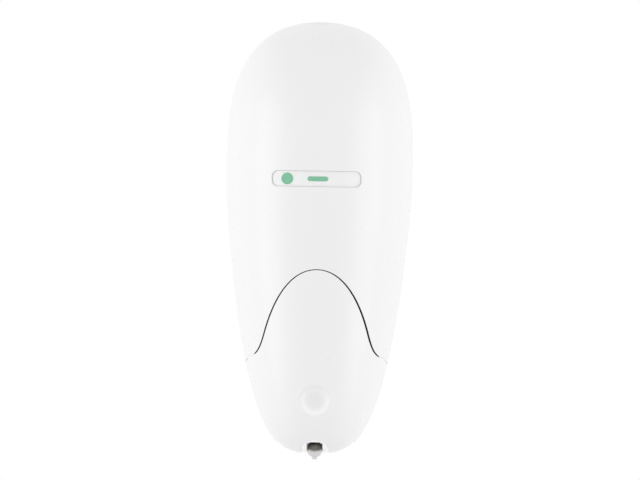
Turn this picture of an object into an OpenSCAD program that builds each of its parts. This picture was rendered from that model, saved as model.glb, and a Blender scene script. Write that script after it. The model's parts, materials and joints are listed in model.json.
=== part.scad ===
// Wall mounted soap dispenser with a push lever.
// Millimetres, +Z up, the wall is the plane y = 0 and the front faces -Y.
// Heights are counted from the bottom of the body; place() then moves everything
// so that the origin is on the wall, at the centre of the four wall holes.

/* [Body] */
// Width of the body at its widest level
body_w = 122.8; // [116:0.2:134]
// Height of the body
body_h = 285; // [280:0.5:300]
// Depth of the body from the wall
body_d = 105; // [102:0.5:115]
// Height of the widest level above the bottom
widest_h = 178; // [170:1:186]
// Depth of the straight sides next to the wall
side_d = 15; // [10:0.5:20]
// Wall of the cover and of the lever
skin = 2.5; // [2:0.1:3]
// Gap in the parting line between the cover and the lever
seam_gap = 0.8; // [0.6:0.1:1.4]
// Gap between the wall and the rear edge of the cover
wall_gap = 1; // [0.5:0.1:2]

/* [Parting line] */
// Height of the top of the lever panel
seam_top = 121.8; // [117:0.2:124]
// Height of the parting line at the sides
seam_base = 64.5; // [62:0.5:68]
// Distance from the middle at which the parting line turns level
seam_reach = 43.5; // [41:0.5:45]

/* [Label] */
// Width of the label window
label_w = 58.5; // [40:0.5:66]
// Height of the label window
label_h = 11; // [9:0.5:18]
// Height of the label's middle above the bottom
label_z = 181; // [160:1:210]
// Corner radius of the label window
label_corner = 4; // [1:0.5:4.5]
// Depth of the label's recess
label_depth = 1.2; // [1:0.1:1.4]

/* [Lever] */
// Diameter of the thumb dimple
dimple_dia = 20.6; // [16:0.2:22]
// Height of the thumb dimple and of the pump's axis above the bottom
dimple_z = 35; // [34:0.5:37]
// Depth of the thumb dimple
dimple_depth = 1.8; // [1.2:0.1:2]
// Width of the notch at the bottom of the lever
notch_w = 17.8; // [16:0.2:20]
// Height of the notch
notch_h = 9.4; // [9:0.2:10]
// Width of the spout bezel's rim on each side of the slot
bezel_rim = 3.5; // [3:0.1:3.7]
// Distance from the wall to the rear edges of the lever
lever_rear = 16; // [15:0.5:18]
// Distance from the wall to the front of the hinge bay in the lever's floor
bay_front = 34; // [33:0.5:35]
// Turn of the lever at full press, in degrees
press_angle = 5.5; // [4:0.1:5.7]

/* [Hinge and pivot] */
// Height of the cover hinge above the bottom
hinge_z = 10; // [9:0.5:11]
// Distance of the cover hinge from the wall
hinge_y = 12; // [11:0.5:13]
// Radius of the hinge ears
hinge_ear_r = 4.5; // [4:0.1:4.8]
// Diameter of the hinge pin
hinge_pin_dia = 4; // [3:0.1:5]
// Height of the lever pivot above the bottom
pivot_z = 112; // [110:0.5:115]
// Distance of the lever pivot from the wall
pivot_y = 50; // [48:0.5:51]
// Diameter of the lever pivot pins
pivot_pin_dia = 5; // [4:0.1:6]
// Radial play of pins in their turning parts
running_play = 0.05; // [0.02:0.01:0.1]
// Gap between plates that move past each other
slide_gap = 0.6; // [0.4:0.1:0.8]

/* [Refill and pump] */
// Radius of the refill bottle
bottle_r = 34.5; // [32:0.1:35]
// Room between the bottle's upper end and the top of the body
bottle_room = 45; // [41:1:60]
// Radius of the bottle's neck
neck_r = 14; // [12:0.2:14.5]
// Wall of the bottle
bottle_wall = 1.2; // [0.8:0.1:2]
// Distance from the wall to the axis of the bottle, the pump and the nozzle
axis_y = 45; // [45:0.5:46]
// Height of the cradle plate's underside
cradle_z = 57; // [56.5:0.5:60]
// Thickness of the cradle plate
cradle_t = 4; // [3:0.5:5]
// Radius of the pump barrel
barrel_r = 8.5; // [8:0.1:9]
// Radius of the piston bore
bore_r = 6; // [5:0.1:6.4]
// Stroke of the piston
pump_stroke = 7.6; // [5.6:0.1:7.9]
// Radius of the inlet ball
ball_r = 3; // [2.6:0.1:3.2]
// Lift of the inlet ball
ball_lift = 1; // [0.6:0.1:1.2]
// Radius of the silicone nozzle
nozzle_r = 5; // [4:0.1:5.1]
// How far the nozzle's tip hangs below the body
nozzle_drop = 3.3; // [2:0.1:5]

/* [Wall plate] */
// Height of the middle of the wall holes above the bottom
plate_middle = 150; // [145:1:155]
// Distance between the wall holes, sideways
hole_spacing_x = 50; // [40:1:56]
// Distance between the wall holes, up and down
hole_spacing_z = 100; // [80:1:104]
// Diameter of the wall holes
wall_hole_dia = 5.2; // [4:0.1:6.5]
// Thickness of the wall plate
plate_t = 3; // [2.5:0.1:4]
// Depth of the wall plate's rim
plate_rim_d = 9; // [7:0.5:10]
// Distance of the wall plate's edge inside the body's outline
plate_inset = 6.6; // [6:0.1:7]

/* [Lock] */
// Distance from the wall to the lock's axis
lock_y = 22; // [21:0.5:24]
// Radius of the lock plug
plug_r = 5; // [4:0.1:5.4]
// Reach of the lock cam from its axis
cam_reach = 14.5; // [13.5:0.1:15]

/* [Hidden] */

// Resolution of exact round parts and of the round parts inside meshed shells
round_fn = 48;
mesh_fn = 32;
// Levels and points of one body section, and the share of the height left for the end caps
levels = 40;
arc_steps = 44;
cap_share = 0.01;
// Steps along each half of the parting line
seam_steps = 10;

// Exponents of the body's outline: rise along the height and fullness of the ends,
// seen from the front and from the side, for the upper and the lower part
front_up = [3.45, 2.2];
front_down = [1.249, 3.365];
side_up = [2.4, 2.2];
side_down = [1.25, 5.5];
// Exponent of the rounded front seen from above
round_n = 2.4;

// Small steps that keep cutters clear of the faces they cut
cut = 1;
// A cutter longer than the whole body
beyond = 2 * body_h;

// Wall of the back plate's rim
rim_t = 2.2;

// How far the pieces of one part reach into each other
sink = 0.5;

// Play of parts that are pushed together
fit_gap = 0.1;
// Gap left in front of what moves
rest_gap = 0.3;

// Screws: shank, head and head height
screw_r = 1.5;
mesh_screw_r = screw_r / cos(180 / mesh_fn);
screw_head_r = 2.8;
screw_head_t = 2;
// Distance from the wall at which screws end inside the wall plate
plate_screw_end = 0.5;

// Hinge of the cover
hinge_ear_w = 5.5;
frame_ear_w = 4;
base_ear_x = 12.5;
frame_ear_x = base_ear_x + hinge_ear_w + slide_gap;
frame_ear_end = frame_ear_x + frame_ear_w;
hinge_pin_r = hinge_pin_dia / 2;

// Frame inside the cover: two arms beside the refill, with cheeks for the pivot
arm_front = hinge_y + 7;
arm_t = 4;
arm_clear = 3.5;
arm_clear_low = plate_inset - skin + rim_t + 1.3;
arm_w = 9;
arm_top = pivot_z + 12;
bar_z = hinge_z + hinge_ear_r + 1;
bar_h = 5.5;
cheek_t = 3;
ear_t = 3;
ear_in = bottle_r + 2;
cheek_in = ear_in + ear_t + slide_gap + 0.6;
cheek_out = cheek_in + cheek_t;
cheek_boss_r = 6;
pivot_pin_r = pivot_pin_dia / 2;
cheek_low = pivot_z - 25;
stop_z = pivot_z - 20;
stop_r = 2.4;
bumper_t = 1;
ear_half = 4;
stop_y = pivot_y + ear_half + rest_gap + stop_r + bumper_t;

arm_levels = concat(
    [hinge_z], [for (k = [1 : 6]) hinge_z + (seam_base - 1 - hinge_z) * k / 6],
    [for (k = [0 : 7]) seam_base + 3 + (arm_top - seam_base - 3) * k / 7]
);

// Pillars in the cover for the frame's screws: heights and lengths
pillar_r = 4;
pillar_z = [seam_base + 15.5, pivot_z + 6];
pillar_depth = [38, 45];
frame_screw_h = 14;

// Band, foot and tongue of the lever's inner arms
backing_r = dimple_dia / 2 + 1.7;
backing_t = 2.6;
band_z = dimple_z + backing_r + 1;
band_h = 8;
band_t = 3;
band_y = pivot_y - ear_half;
band_inset = skin + 0.4;
foot_top = cradle_z + cradle_t;
joggle_top = pivot_z - 28;
tongue_w = 14;
tongue_t = 2.8;
tongue_low = dimple_z - 4;
arm_screw_x = 13;
arm_screw_z = band_z + band_h / 2;
pad_r = 6;
// Spout bezel: height of its rim at the top of the arch, and how far it lies below the skin
bezel_top = 1.3;
bezel_drop = 0.1;
bezel_end = 0.5;
pad_dome_r = 15;
pad_t = 1.4;
pad_seat = 1.4;
// The label's parts: thickness of the card, and how far the window lies below the surface
card_t = 0.4;
window_drop = 0.15;

// Pump, along the axis of the barrel
barrel_front = 57;
barrel_rear = 31;
bore_end = 35;
piston_crown_t = 4;
piston_rod_r = 3;
piston_head_r = 7;
piston_head_t = 2;
spring_wire_r = 0.45;
spring_turns = 4;
spring_sides = 8;
spring_ring = 16;
lever_front = front_y(dimple_z, 0);
tongue_front = lever_front - skin - backing_t;
band_front = wall_y(band_z, band_inset, tongue_w / 2);
screw_block_w = 8;
screw_seat = wall_y(band_z, band_inset, arm_screw_x + screw_block_w / 2);
screw_face = screw_seat - 6;
screw_tip = screw_seat + 3;
// How far the lever's lower end moves back when it is pressed
lever_sweep = pivot_z * sin(press_angle);
foot_x = wall_x(band_z, band_inset, pivot_y + ear_half) - 0.2;
bay_x = frame_ear_end + 2.5;
pad_tip = tongue_front - tongue_t - pad_seat - pad_t;
piston_front = pad_tip - rest_gap;
// Inner face of the piston's crown at rest: a full stroke in front of the bore's end
bore_mid = bore_end + pump_stroke + 2.4;
seal_t = 1.4;
seal_groove_w = 2;
seal_y = bore_mid + 1;
spring_from = barrel_front + spring_wire_r + 0.02;
spring_to = piston_front - piston_head_t - spring_wire_r - 0.02;
spring_r = piston_head_r - 1.2;

// Pump, up and down
flange_t = 3;
flange_r = 24;
flange_flat = 18.5;
flange_z = cradle_z - flange_t;
pump_screw_x = 20.6;
inlet_floor = flange_z - 1.8;
inlet_r = 8;
channel_r = 2.2;
cage_t = 1.2;
cage_hole_r = 0.8;
cage_z = dimple_z + bore_r + 2;
cavity_r = ball_r + 0.9;
ball_z = cage_z + cage_t + rest_gap + ball_r;
seat_z = ball_z + ball_lift + sqrt(ball_r * ball_r - channel_r * channel_r) + fit_gap;
outlet_r = 5.5;
outlet_low = 14;
spigot_r = 2.6;
spigot_low = 5;
spout_r = 1.4;
valve_r = 3;
valve_z = [outlet_low + 3.5, dimple_z - bore_r - 3];
// Outlet valve: rim, stem and the flat bill with its slit
valve_rim_t = 2;
valve_stem_r = 2.2;
valve_wall = 0.9;
bill_h = 4;
bill_t = 1.2;
bill_slit_x = 1.6;
bill_slit_t = 0.3;

// Refill: cap and bottle
cap_r = 16.8;
cap_wall = 2.4;
cap_low = cradle_z + 0.3;
cap_floor = 2;
cap_flange_r = 21;
cap_flange_t = 2;
cap_skirt = 11;
cap_top = cradle_z + cradle_t + cap_skirt;
cap_spigot_r = inlet_r - 0.4;
gasket_t = 1.2;
gasket_r = channel_r + 0.8;
neck_low = cap_low + cap_floor + 0.7;
neck_top = cap_top + 2;
shoulder_top = neck_top + bottle_r - neck_r;
bottle_top = body_h - bottle_room;
end_round = 10;
cradle_r = 27;
cradle_arm_w = 40;
cradle_back_h = 36;
cradle_back_t = 3.2;
cradle_screw_x = 20;
cradle_screw_z = [cradle_z + 12, cradle_z + cradle_back_h - 6];
gusset_t = 3;
gusset_drop = 22;
gusset_foot = 5;
gusset_gap = 17;

// Round top of the notch and corners of the slot in its bezel
arch_squash = 0.62;
slot_corner = 1.7;

// Nozzle: dome, straight side, round shoulder and neck, and the nub under the dome
teat_rim_z = notch_h - bezel_top - 2.6;
teat_neck_r = 3.5;
teat_top = 12;
teat_round = 2.4;
teat_dome_z = 0.9;
nub_r = 1.6;
nub_round = 0.3;
nub_top = -1.5;
// The least lip that the bezel keeps in front of the nozzle's way
bezel_lip = 1.5;

// Wall plate
rim_low = 18;
skirt_top = seam_base - 1.5;
skirt_d = lever_rear + 3;
plate_low = 4;
plate_side_low = 14;
saddle_rise = 68;
saddle_drop = 28;
saddle_z = [cradle_z + saddle_rise, bottle_top - saddle_drop];
saddle_t = 5;
saddle_w = 44;
saddle_depth = 16;
wall_boss_w = 3;
wall_boss_t = 1.5;
wall_x_mid = hole_spacing_x / 2;
wall_z = [plate_middle - hole_spacing_z / 2, plate_middle + hole_spacing_z / 2];

// Lock
boss_r = 12;
lock_top = body_h - 3.8;
lock_head_t = 1.5;
lock_head_r = 9.8;
sleeve_r = 8;
sleeve_h = 18.2;
sleeve_low = lock_top - sleeve_h;
boss_h = 9.2;
lock_boss_low = lock_top - boss_h;
nut_t = 4;
nut_r = 11;
cam_t = 3;
cam_gap = 2;
cam_w = 7;
cam_low = sleeve_low - cam_gap - cam_t;
plug_low = cam_low + cam_t;
plug_recess = 0.3;
cam_screw_h = 6;
key_r = 3.4;
key_t = 1.2;
key_depth = 4;
keeper_x = sleeve_r + 1;
keeper_w = 5;
keeper_lip_t = 2.8;
keeper_lip_y = lock_y + cam_w / 2 + 0.7;
keeper_arm_z = plug_low + 1;
keeper_arm_t = 3;
keeper_lip_h = 5;
keeper_base_w = 12;
keeper_base_h = 26;
keeper_base_t = 3;
keeper_hang = 18;
keeper_base_z = keeper_arm_z - keeper_hang;
keeper_seat = plate_t + keeper_base_t;
keeper_mid = keeper_x + keeper_w / 2;
keeper_screw_z = [keeper_base_z + 4, keeper_base_z + 13];

// ---------------------------------------------------------------- outline

function superellipse(u, e) = pow(max(0, 1 - pow(min(1, u), e[0])), 1 / e[1]);

// Share of the way from the widest level to the end of the body
function reach(z, inset) =
    z >= widest_h
        ? (z - widest_h) / (body_h - inset - widest_h)
        : (widest_h - z) / (widest_h - inset);

// Half width and front distance of the body at a height, drawn in by an inset
function half_w(z, inset) =
    (body_w / 2 - inset) * superellipse(reach(z, inset), z >= widest_h ? front_up : front_down);
function front_y(z, inset) =
    (body_d - inset) * superellipse(reach(z, inset), z >= widest_h ? side_up : side_down);

// Half width at a height and at a distance from the wall
function wall_x(z, inset, y) =
    let (d = front_y(z, inset), s = min(side_d, d / 4))
    half_w(z, inset) * pow(1 - pow(max(0, y - s) / (d - s), round_n), 1 / round_n);

// Distance of the front from the wall at a height and at a distance from the middle
function wall_y(z, inset, x) =
    let (d = front_y(z, inset), s = min(side_d, d / 4))
    s + (d - s) * pow(1 - pow(x / half_w(z, inset), round_n), 1 / round_n);

// Outline of one level, from the rear on the right round the front to the rear on the left
function section(z, inset, rear) =
    let (w = half_w(z, inset), d = front_y(z, inset), s = min(side_d, d / 4))
    concat(
        [[w, -rear]],
        [for (i = [0 : arc_steps])
            let (a = 180 * i / arc_steps, c = cos(a), k = sin(a))
            [sign(c) * w * pow(abs(c), 2 / round_n), -s - (d - s) * pow(abs(k), 2 / round_n)]],
        [[-w, -rear]]
    );

// Height of a level, closer together near the ends
function level_z(i, inset) =
    let (share = cap_share + (1 - 2 * cap_share) * i / levels)
    inset + (body_h - 2 * inset) * (1 - cos(180 * share)) / 2;

// Bezier point, for the parting line
function bezier(p, t) =
    pow(1 - t, 3) * p[0] + 3 * pow(1 - t, 2) * t * p[1] + 3 * (1 - t) * t * t * p[2] + pow(t, 3) * p[3];

// Control points of the parting line, as shares of its reach and of its rise
seam_shoulder = [[0, 1], [0.37, 1], [0.64, 0.71], [0.79, 0.276]];
seam_foot = [[0.79, 0.276], [0.85, 0.098], [0.90, 0.014], [1, 0]];
function seam_point(p) = [p[0] * seam_reach, seam_base + p[1] * (seam_top - seam_base)];
seam_half = concat(
    [for (i = [0 : seam_steps]) seam_point(bezier(seam_shoulder, i / seam_steps))],
    [for (i = [1 : seam_steps]) seam_point(bezier(seam_foot, i / seam_steps))]
);

// Middle of a screw pillar: it stands in the side wall of the cover
function pillar_x(k) = half_w(pillar_z[k], skin) - pillar_r + 0.4;

// ---------------------------------------------------------------- helpers

module place() translate([0, 0, -plate_middle]) children();

// Cylinders along X and along Y; the span is given by its two ends
module rod_x(r, x0, x1, y, z, fn = round_fn)
    translate([x0, y, z]) rotate([0, 90, 0]) cylinder(r = r, h = x1 - x0, $fn = fn);
module rod_y(r, y0, y1, x, z, fn = round_fn)
    translate([x, y1, z]) rotate([90, 0, 0]) cylinder(r = r, h = y1 - y0, $fn = fn);
// Cylinder up and down, and a box, both between two corners
module rod_z(r, z0, z1, x, y, fn = round_fn)
    translate([x, y, z0]) cylinder(r = r, h = z1 - z0, $fn = fn);
module box(a, b) translate(a) cube(b - a);

module both_sides() {
    children();
    mirror([1, 0, 0]) children();
}

// The whole body as one solid, drawn in by an inset
module body_solid(inset, rear) {
    n = arc_steps + 3;
    points = [for (i = [0 : levels]) each [
        let (z = level_z(i, inset)) for (p = section(z, inset, rear)) [p[0], p[1], z]]];
    sides = [for (i = [0 : levels - 1]) for (j = [0 : n - 1])
        let (a = i * n + j, b = i * n + (j + 1) % n) each [[a, b, a + n], [b, b + n, a + n]]];
    bottom = [[for (j = [n - 1 : -1 : 0]) j]];
    top = [[for (j = [0 : n - 1]) levels * n + j]];
    polyhedron(points, concat(sides, bottom, top), convexity = 6);
}

module hollow_body() {
    difference() {
        body_solid(0, wall_gap);
        body_solid(skin, -cut);
    }
}

// Everything under the parting line, seen from the front
module under_seam() {
    edge = concat(
        [[body_w, seam_base]],
        [for (i = [len(seam_half) - 1 : -1 : 0]) seam_half[i]],
        [for (i = [1 : len(seam_half) - 1]) [-seam_half[i][0], seam_half[i][1]]],
        [[-body_w, seam_base], [-body_w, -body_h], [body_w, -body_h]]
    );
    polygon(edge);
}

// A front view drawing, pushed through the body from front to back
module through() rotate([90, 0, 0])
    linear_extrude(height = beyond, center = true, convexity = 6) children();

// A drawing seen from the side (distance from the wall, height), centred on x and w thick
module side_plate(x0, x1)
    translate([x0, 0, 0]) rotate([90, 0, -90]) translate([0, 0, -(x1 - x0)])
        linear_extrude(height = x1 - x0) children();

module rounded(w, h, r) offset(r = r, $fn = mesh_fn) square([w - 2 * r, h - 2 * r], center = true);

// Screw along +Y with its head behind, from the head's face to the tip
module screw_y(x, z, head_y, length) {
    rod_y(screw_r, head_y - length, head_y, x, z, round_fn);
    rod_y(screw_head_r, head_y, head_y + screw_head_t, x, z, round_fn);
}

// Screw driven into the wall plate from the front, with its head on a seat
module plate_screw(x, z, seat) {
    rod_y(screw_r, -seat, -plate_screw_end, x, z);
    rod_y(screw_head_r, -seat - screw_head_t, -seat, x, z);
}

// The arch of the notch, grown or drawn in
module arch(w, h) {
    rise = w / 2 * arch_squash;
    translate([0, h - rise]) scale([1, arch_squash]) circle(d = w, $fn = mesh_fn);
    translate([-w / 2, -beyond / 4]) square([w, h - rise + beyond / 4]);
}

// Front view of the nozzle's slot: a level top with rounded corners
module slot(w, h) {
    for (x = [slot_corner - w / 2, w / 2 - slot_corner])
        translate([x, h - slot_corner]) circle(r = slot_corner, $fn = mesh_fn);
    translate([slot_corner - w / 2, -beyond / 4]) square([w - 2 * slot_corner, h + beyond / 4]);
    translate([-w / 2, -beyond / 4]) square([w, h - slot_corner + beyond / 4]);
}

// ---------------------------------------------------------------- base

// Outline of the wall plate: the body's outline drawn in, cut off level at its lower end
function plate_side(inset) = [for (i = [0 : levels])
    let (z = level_z(i, 0), x = half_w(z, 0) - inset)
    if (z > plate_side_low && x > inset) [x, min(z, body_h - inset)]];
module plate_outline(inset) {
    side = plate_side(inset);
    polygon(concat(side, [for (i = [len(side) - 1 : -1 : 0]) [-side[i][0], side[i][1]]]));
}

module on_wall(depth) rotate([90, 0, 0]) linear_extrude(height = depth, convexity = 6) children();

module back_plate() place() color("whitesmoke") difference() {
    union() {
        on_wall(plate_t) plate_outline(plate_inset);
        difference() {
            on_wall(skirt_d) plate_outline(plate_inset);
            translate([0, cut, 0]) on_wall(skirt_d + 2 * cut) plate_outline(plate_inset + rim_t);
            box([-body_w, -2 * skirt_d, 0], [body_w, cut, rim_low]);
            box([-body_w, -2 * skirt_d, skirt_top], [body_w, -plate_rim_d, body_h]);
        }
        box([-frame_ear_x + slide_gap, -plate_t, plate_low], [frame_ear_x - slide_gap, 0, 2 * rim_low]);
        both_sides() {
            rod_x(hinge_ear_r, base_ear_x, base_ear_x + hinge_ear_w, -hinge_y, hinge_z);
            box([base_ear_x, -hinge_y, hinge_z - hinge_ear_r],
                [base_ear_x + hinge_ear_w, -plate_t + sink, hinge_z + hinge_ear_r]);
        }
        for (x = [-wall_x_mid, wall_x_mid], z = wall_z)
            rod_y(wall_hole_dia / 2 + wall_boss_w, -plate_t - wall_boss_t, -plate_t + sink, x, z);
        for (z = saddle_z) difference() {
            box([-saddle_w / 2, -saddle_depth, z], [saddle_w / 2, -plate_t + sink, z + saddle_t]);
            rod_z(bottle_r + rest_gap, z - cut, z + saddle_t + cut, 0, -axis_y, 96);
        }
    }
    rod_x(hinge_pin_r, -frame_ear_end, frame_ear_end, -hinge_y, hinge_z);
    for (x = [-wall_x_mid, wall_x_mid], z = wall_z)
        rod_y(wall_hole_dia / 2, -plate_t - 2 * wall_boss_t, cut, x, z);
    for (x = [-cradle_screw_x, cradle_screw_x], z = cradle_screw_z)
        rod_y(screw_r, -plate_t - cut, -plate_screw_end, x, z);
    for (z = keeper_screw_z) rod_y(screw_r, -plate_t - cut, -plate_screw_end, keeper_mid, z);
}

module hinge_pin() place() color("silver")
    rod_x(hinge_pin_r, -frame_ear_end - sink, frame_ear_end + sink, -hinge_y, hinge_z);

module lock_keeper() place() color("whitesmoke") difference() {
    union() {
        box([keeper_mid - keeper_base_w / 2, -keeper_seat, keeper_base_z],
            [keeper_mid + keeper_base_w / 2, -plate_t, keeper_base_z + keeper_base_h]);
        box([keeper_x, -keeper_lip_y - keeper_lip_t, keeper_arm_z],
            [keeper_x + keeper_w, -keeper_seat + sink, keeper_arm_z + keeper_arm_t]);
        box([keeper_x, -keeper_lip_y - keeper_lip_t, keeper_arm_z - keeper_lip_h],
            [keeper_x + keeper_w, -keeper_lip_y, keeper_arm_z + sink]);
    }
    for (z = keeper_screw_z) rod_y(screw_r, -2 * keeper_seat, 0, keeper_mid, z);
}

module keeper_screws() place() color("silver")
    for (z = keeper_screw_z) plate_screw(keeper_mid, z, keeper_seat);

module refill_cradle() place() color("whitesmoke") difference() {
    union() {
        rod_z(cradle_r, cradle_z, cradle_z + cradle_t, 0, -axis_y, 96);
        box([-cradle_arm_w / 2, -axis_y, cradle_z], [cradle_arm_w / 2, -plate_t, cradle_z + cradle_t]);
        box([-cradle_arm_w / 2 - 4, -plate_t - cradle_back_t, cradle_z],
            [cradle_arm_w / 2 + 4, -plate_t, cradle_z + cradle_back_h]);
        both_sides() side_plate(cradle_arm_w / 2 - gusset_t, cradle_arm_w / 2)
            polygon([[plate_t, cradle_z + sink], [plate_t, cradle_z - gusset_drop],
                [plate_t + gusset_foot, cradle_z - gusset_drop], [axis_y - gusset_gap, cradle_z + sink]]);
    }
    rod_z(cap_r + 0.4, cradle_z - cut, cradle_z + cradle_t + cut, 0, -axis_y, 96);
    for (x = [-1, 1]) rod_z(screw_r, cradle_z - cut, cradle_z + cradle_t + cut, x * pump_screw_x, -axis_y);
    for (x = [-1, 1], z = cradle_screw_z) rod_y(screw_r, -2 * plate_rim_d, 0, x * cradle_screw_x, z);
}
module cradle_screws() place() color("silver")
    for (x = [-1, 1], z = cradle_screw_z) plate_screw(x * cradle_screw_x, z, plate_t + cradle_back_t);

// Arc about c from angle a to angle b, for turned profiles
function rounding(c, r, a, b, n = 8) =
    [for (i = [0 : n]) let (t = a + (b - a) * i / n) c + r * [cos(t), sin(t)]];

// The bottle standing on its neck, as a solid from a level upwards, drawn in by an inset
module bottle_form(inset, low) {
    half = (bottle_r - neck_r) / 2;
    rotate_extrude($fn = 64) polygon(concat(
        [[0, low], [neck_r - inset, low], [neck_r - inset, neck_top]],
        rounding([neck_r + half, neck_top + inset / 2], half + inset, 180, 90),
        rounding([neck_r + half, shoulder_top + inset / 2], half - inset, -90, 0),
        rounding([bottle_r - end_round, bottle_top - end_round], end_round - inset, 0, 90),
        [[0, bottle_top - inset]]
    ));
}

module refill_bottle() place() color([0.93, 0.95, 0.93, 0.6]) translate([0, -axis_y, 0]) difference() {
    bottle_form(0, neck_low);
    bottle_form(bottle_wall, neck_low - cut);
}

module bottle_cap() place() color("white") difference() {
    union() {
        rod_z(cap_r, cap_low, cap_top, 0, -axis_y, 96);
        rod_z(cap_flange_r, cradle_z + cradle_t, cradle_z + cradle_t + cap_flange_t, 0, -axis_y, 96);
        rod_z(cap_spigot_r, inlet_floor + gasket_t, cap_low + cut, 0, -axis_y);
    }
    rod_z(neck_r + fit_gap, cap_low + cap_floor, cap_top + cut, 0, -axis_y, 96);
    rod_z(gasket_r, inlet_floor, cap_top, 0, -axis_y);
}

module cap_gasket() place() color("dimgray") difference() {
    rod_z(cap_spigot_r, inlet_floor, inlet_floor + gasket_t, 0, -axis_y);
    rod_z(gasket_r, inlet_floor - cut, inlet_floor + gasket_t + cut, 0, -axis_y);
}

module pump_body() place() color("gainsboro") difference() {
    union() {
        rod_y(barrel_r, -barrel_front, -barrel_rear, 0, dimple_z);
        rod_z(barrel_r + 1.5, dimple_z, flange_z + cut, 0, -axis_y);
        rod_z(flange_r, flange_z, cradle_z, 0, -axis_y, 96);
        rod_z(outlet_r, outlet_low, dimple_z, 0, -axis_y);
        rod_z(spigot_r, spigot_low, outlet_low + cut, 0, -axis_y);
    }
    box([-flange_r, -axis_y - 2 * flange_r, flange_z - cut],
        [flange_r, -axis_y - flange_flat, cradle_z + cut]);
    rod_y(bore_r, -barrel_front - cut, -bore_end, 0, dimple_z);
    rod_z(inlet_r, inlet_floor, cradle_z + cut, 0, -axis_y);
    rod_z(channel_r, dimple_z, inlet_floor + cut, 0, -axis_y);
    rod_z(cavity_r, dimple_z, seat_z, 0, -axis_y);
    rod_z(valve_r, valve_z[0], dimple_z, 0, -axis_y);
    rod_z(spout_r, spigot_low - cut, dimple_z, 0, -axis_y);
    for (x = [-1, 1]) rod_z(screw_r, flange_z - cut, cradle_z + cut, x * pump_screw_x, -axis_y);
}

module pump_screws() place() color("silver")
    for (x = [-1, 1]) {
        rod_z(screw_r, flange_z, cradle_z + cradle_t - 0.5, x * pump_screw_x, -axis_y);
        rod_z(screw_head_r, flange_z - screw_head_t, flange_z, x * pump_screw_x, -axis_y);
    }

module ball_cage() place() color("white") difference() {
    rod_z(cavity_r, cage_z, cage_z + cage_t, 0, -axis_y);
    translate([0, -axis_y, 0]) for (a = [0 : 90 : 270])
        rotate(a) rod_z(cage_hole_r, cage_z - cut, cage_z + cage_t + cut, channel_r, 0);
}

module inlet_ball() place() color("silver")
    translate([0, -axis_y, ball_z]) sphere(r = ball_r, $fn = round_fn);

module outlet_valve() place() color("khaki") difference() {
    union() {
        rod_z(valve_r, valve_z[1] - valve_rim_t, valve_z[1], 0, -axis_y);
        rod_z(valve_stem_r, valve_z[0] + bill_h - bill_t, valve_z[1] - sink, 0, -axis_y);
        box([-valve_stem_r, -axis_y - bill_t / 2, valve_z[0]],
            [valve_stem_r, -axis_y + bill_t / 2, valve_z[0] + bill_h]);
    }
    rod_z(valve_stem_r - valve_wall, valve_z[0] + bill_h - valve_wall, valve_z[1] + cut, 0, -axis_y);
    box([-bill_slit_x, -axis_y - bill_slit_t / 2, valve_z[0] - cut],
        [bill_slit_x, -axis_y + bill_slit_t / 2, valve_z[0] + bill_h + cut]);
}

// Silicone nozzle: a sleeve on the spigot, a full dome under it and a small nub
module nozzle_teat() place() color([0.93, 0.94, 0.92, 0.8]) translate([0, -axis_y, 0]) difference() {
    rotate_extrude($fn = round_fn) polygon(concat(
        [[0, -nozzle_drop], [nub_r - nub_round, -nozzle_drop], [nub_r, -nozzle_drop + nub_round],
            [nub_r, nub_top]],
        rounding([nozzle_r - teat_round, teat_dome_z], teat_round, -80, 0),
        rounding([teat_neck_r, teat_rim_z], nozzle_r - teat_neck_r, 0, 90),
        [[teat_neck_r, teat_top], [0, teat_top]]
    ));
    cylinder(r = spout_r, h = 4 * teat_top, center = true, $fn = round_fn);
    translate([0, 0, spigot_low]) cylinder(r = spigot_r, h = teat_top, $fn = round_fn);
}

// ---------------------------------------------------------------- piston

// Piston: head, rod and a crown with a groove for its seal
module pump_piston() place() color("white") {
    rod_y(piston_head_r, -piston_front, -piston_front + piston_head_t, 0, dimple_z);
    rod_y(piston_rod_r, -piston_front + sink, -bore_mid - sink, 0, dimple_z);
    difference() {
        rod_y(bore_r - running_play, -bore_mid - piston_crown_t, -bore_mid, 0, dimple_z);
        rod_y(bore_r, -seal_y - seal_groove_w, -seal_y, 0, dimple_z);
    }
    rod_y(bore_r - seal_t, -seal_y - seal_groove_w - sink, -seal_y + sink, 0, dimple_z);
}

module piston_seal() place() color("dimgray") difference() {
    rod_y(bore_r - running_play, -seal_y - seal_groove_w + fit_gap, -seal_y - fit_gap, 0, dimple_z);
    rod_y(bore_r - seal_t, -seal_y - seal_groove_w - cut, -seal_y + cut, 0, dimple_z);
}

// Return spring between the barrel and the piston's head, swept along its helix
module pump_spring() place() color("silver") {
    steps = spring_turns * spring_ring;
    length = spring_to - spring_from;
    points = [for (i = [0 : steps], j = [0 : spring_sides - 1])
        let (a = 360 * i / spring_ring, b = 360 * j / spring_sides)
        let (r = spring_r + spring_wire_r * cos(b))
        let (y = spring_from + length * i / steps + spring_wire_r * sin(b))
        [r * cos(a), -y, dimple_z + r * sin(a)]];
    sides = [for (i = [0 : steps - 1], j = [0 : spring_sides - 1])
        let (a = i * spring_sides + j, b = i * spring_sides + (j + 1) % spring_sides)
        each [[a, a + spring_sides, b], [b, a + spring_sides, b + spring_sides]]];
    first = [for (j = [0 : spring_sides - 1]) j];
    last = [for (j = [spring_sides - 1 : -1 : 0]) steps * spring_sides + j];
    polyhedron(points, concat(sides, [first, last]), convexity = 8);
}

// ---------------------------------------------------------------- cover

module label_area(grow) translate([0, label_z])
    rounded(label_w + 2 * grow, label_h + 2 * grow, label_corner + grow);

// A thin layer of the body's surface, between two depths
module layer(outer, inner) difference() {
    body_solid(outer, wall_gap);
    body_solid(inner, -cut);
}

module front_half() intersection() {
    children();
    box([-beyond, -beyond, 0], [beyond, -body_d / 2, body_h]);
}

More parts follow.
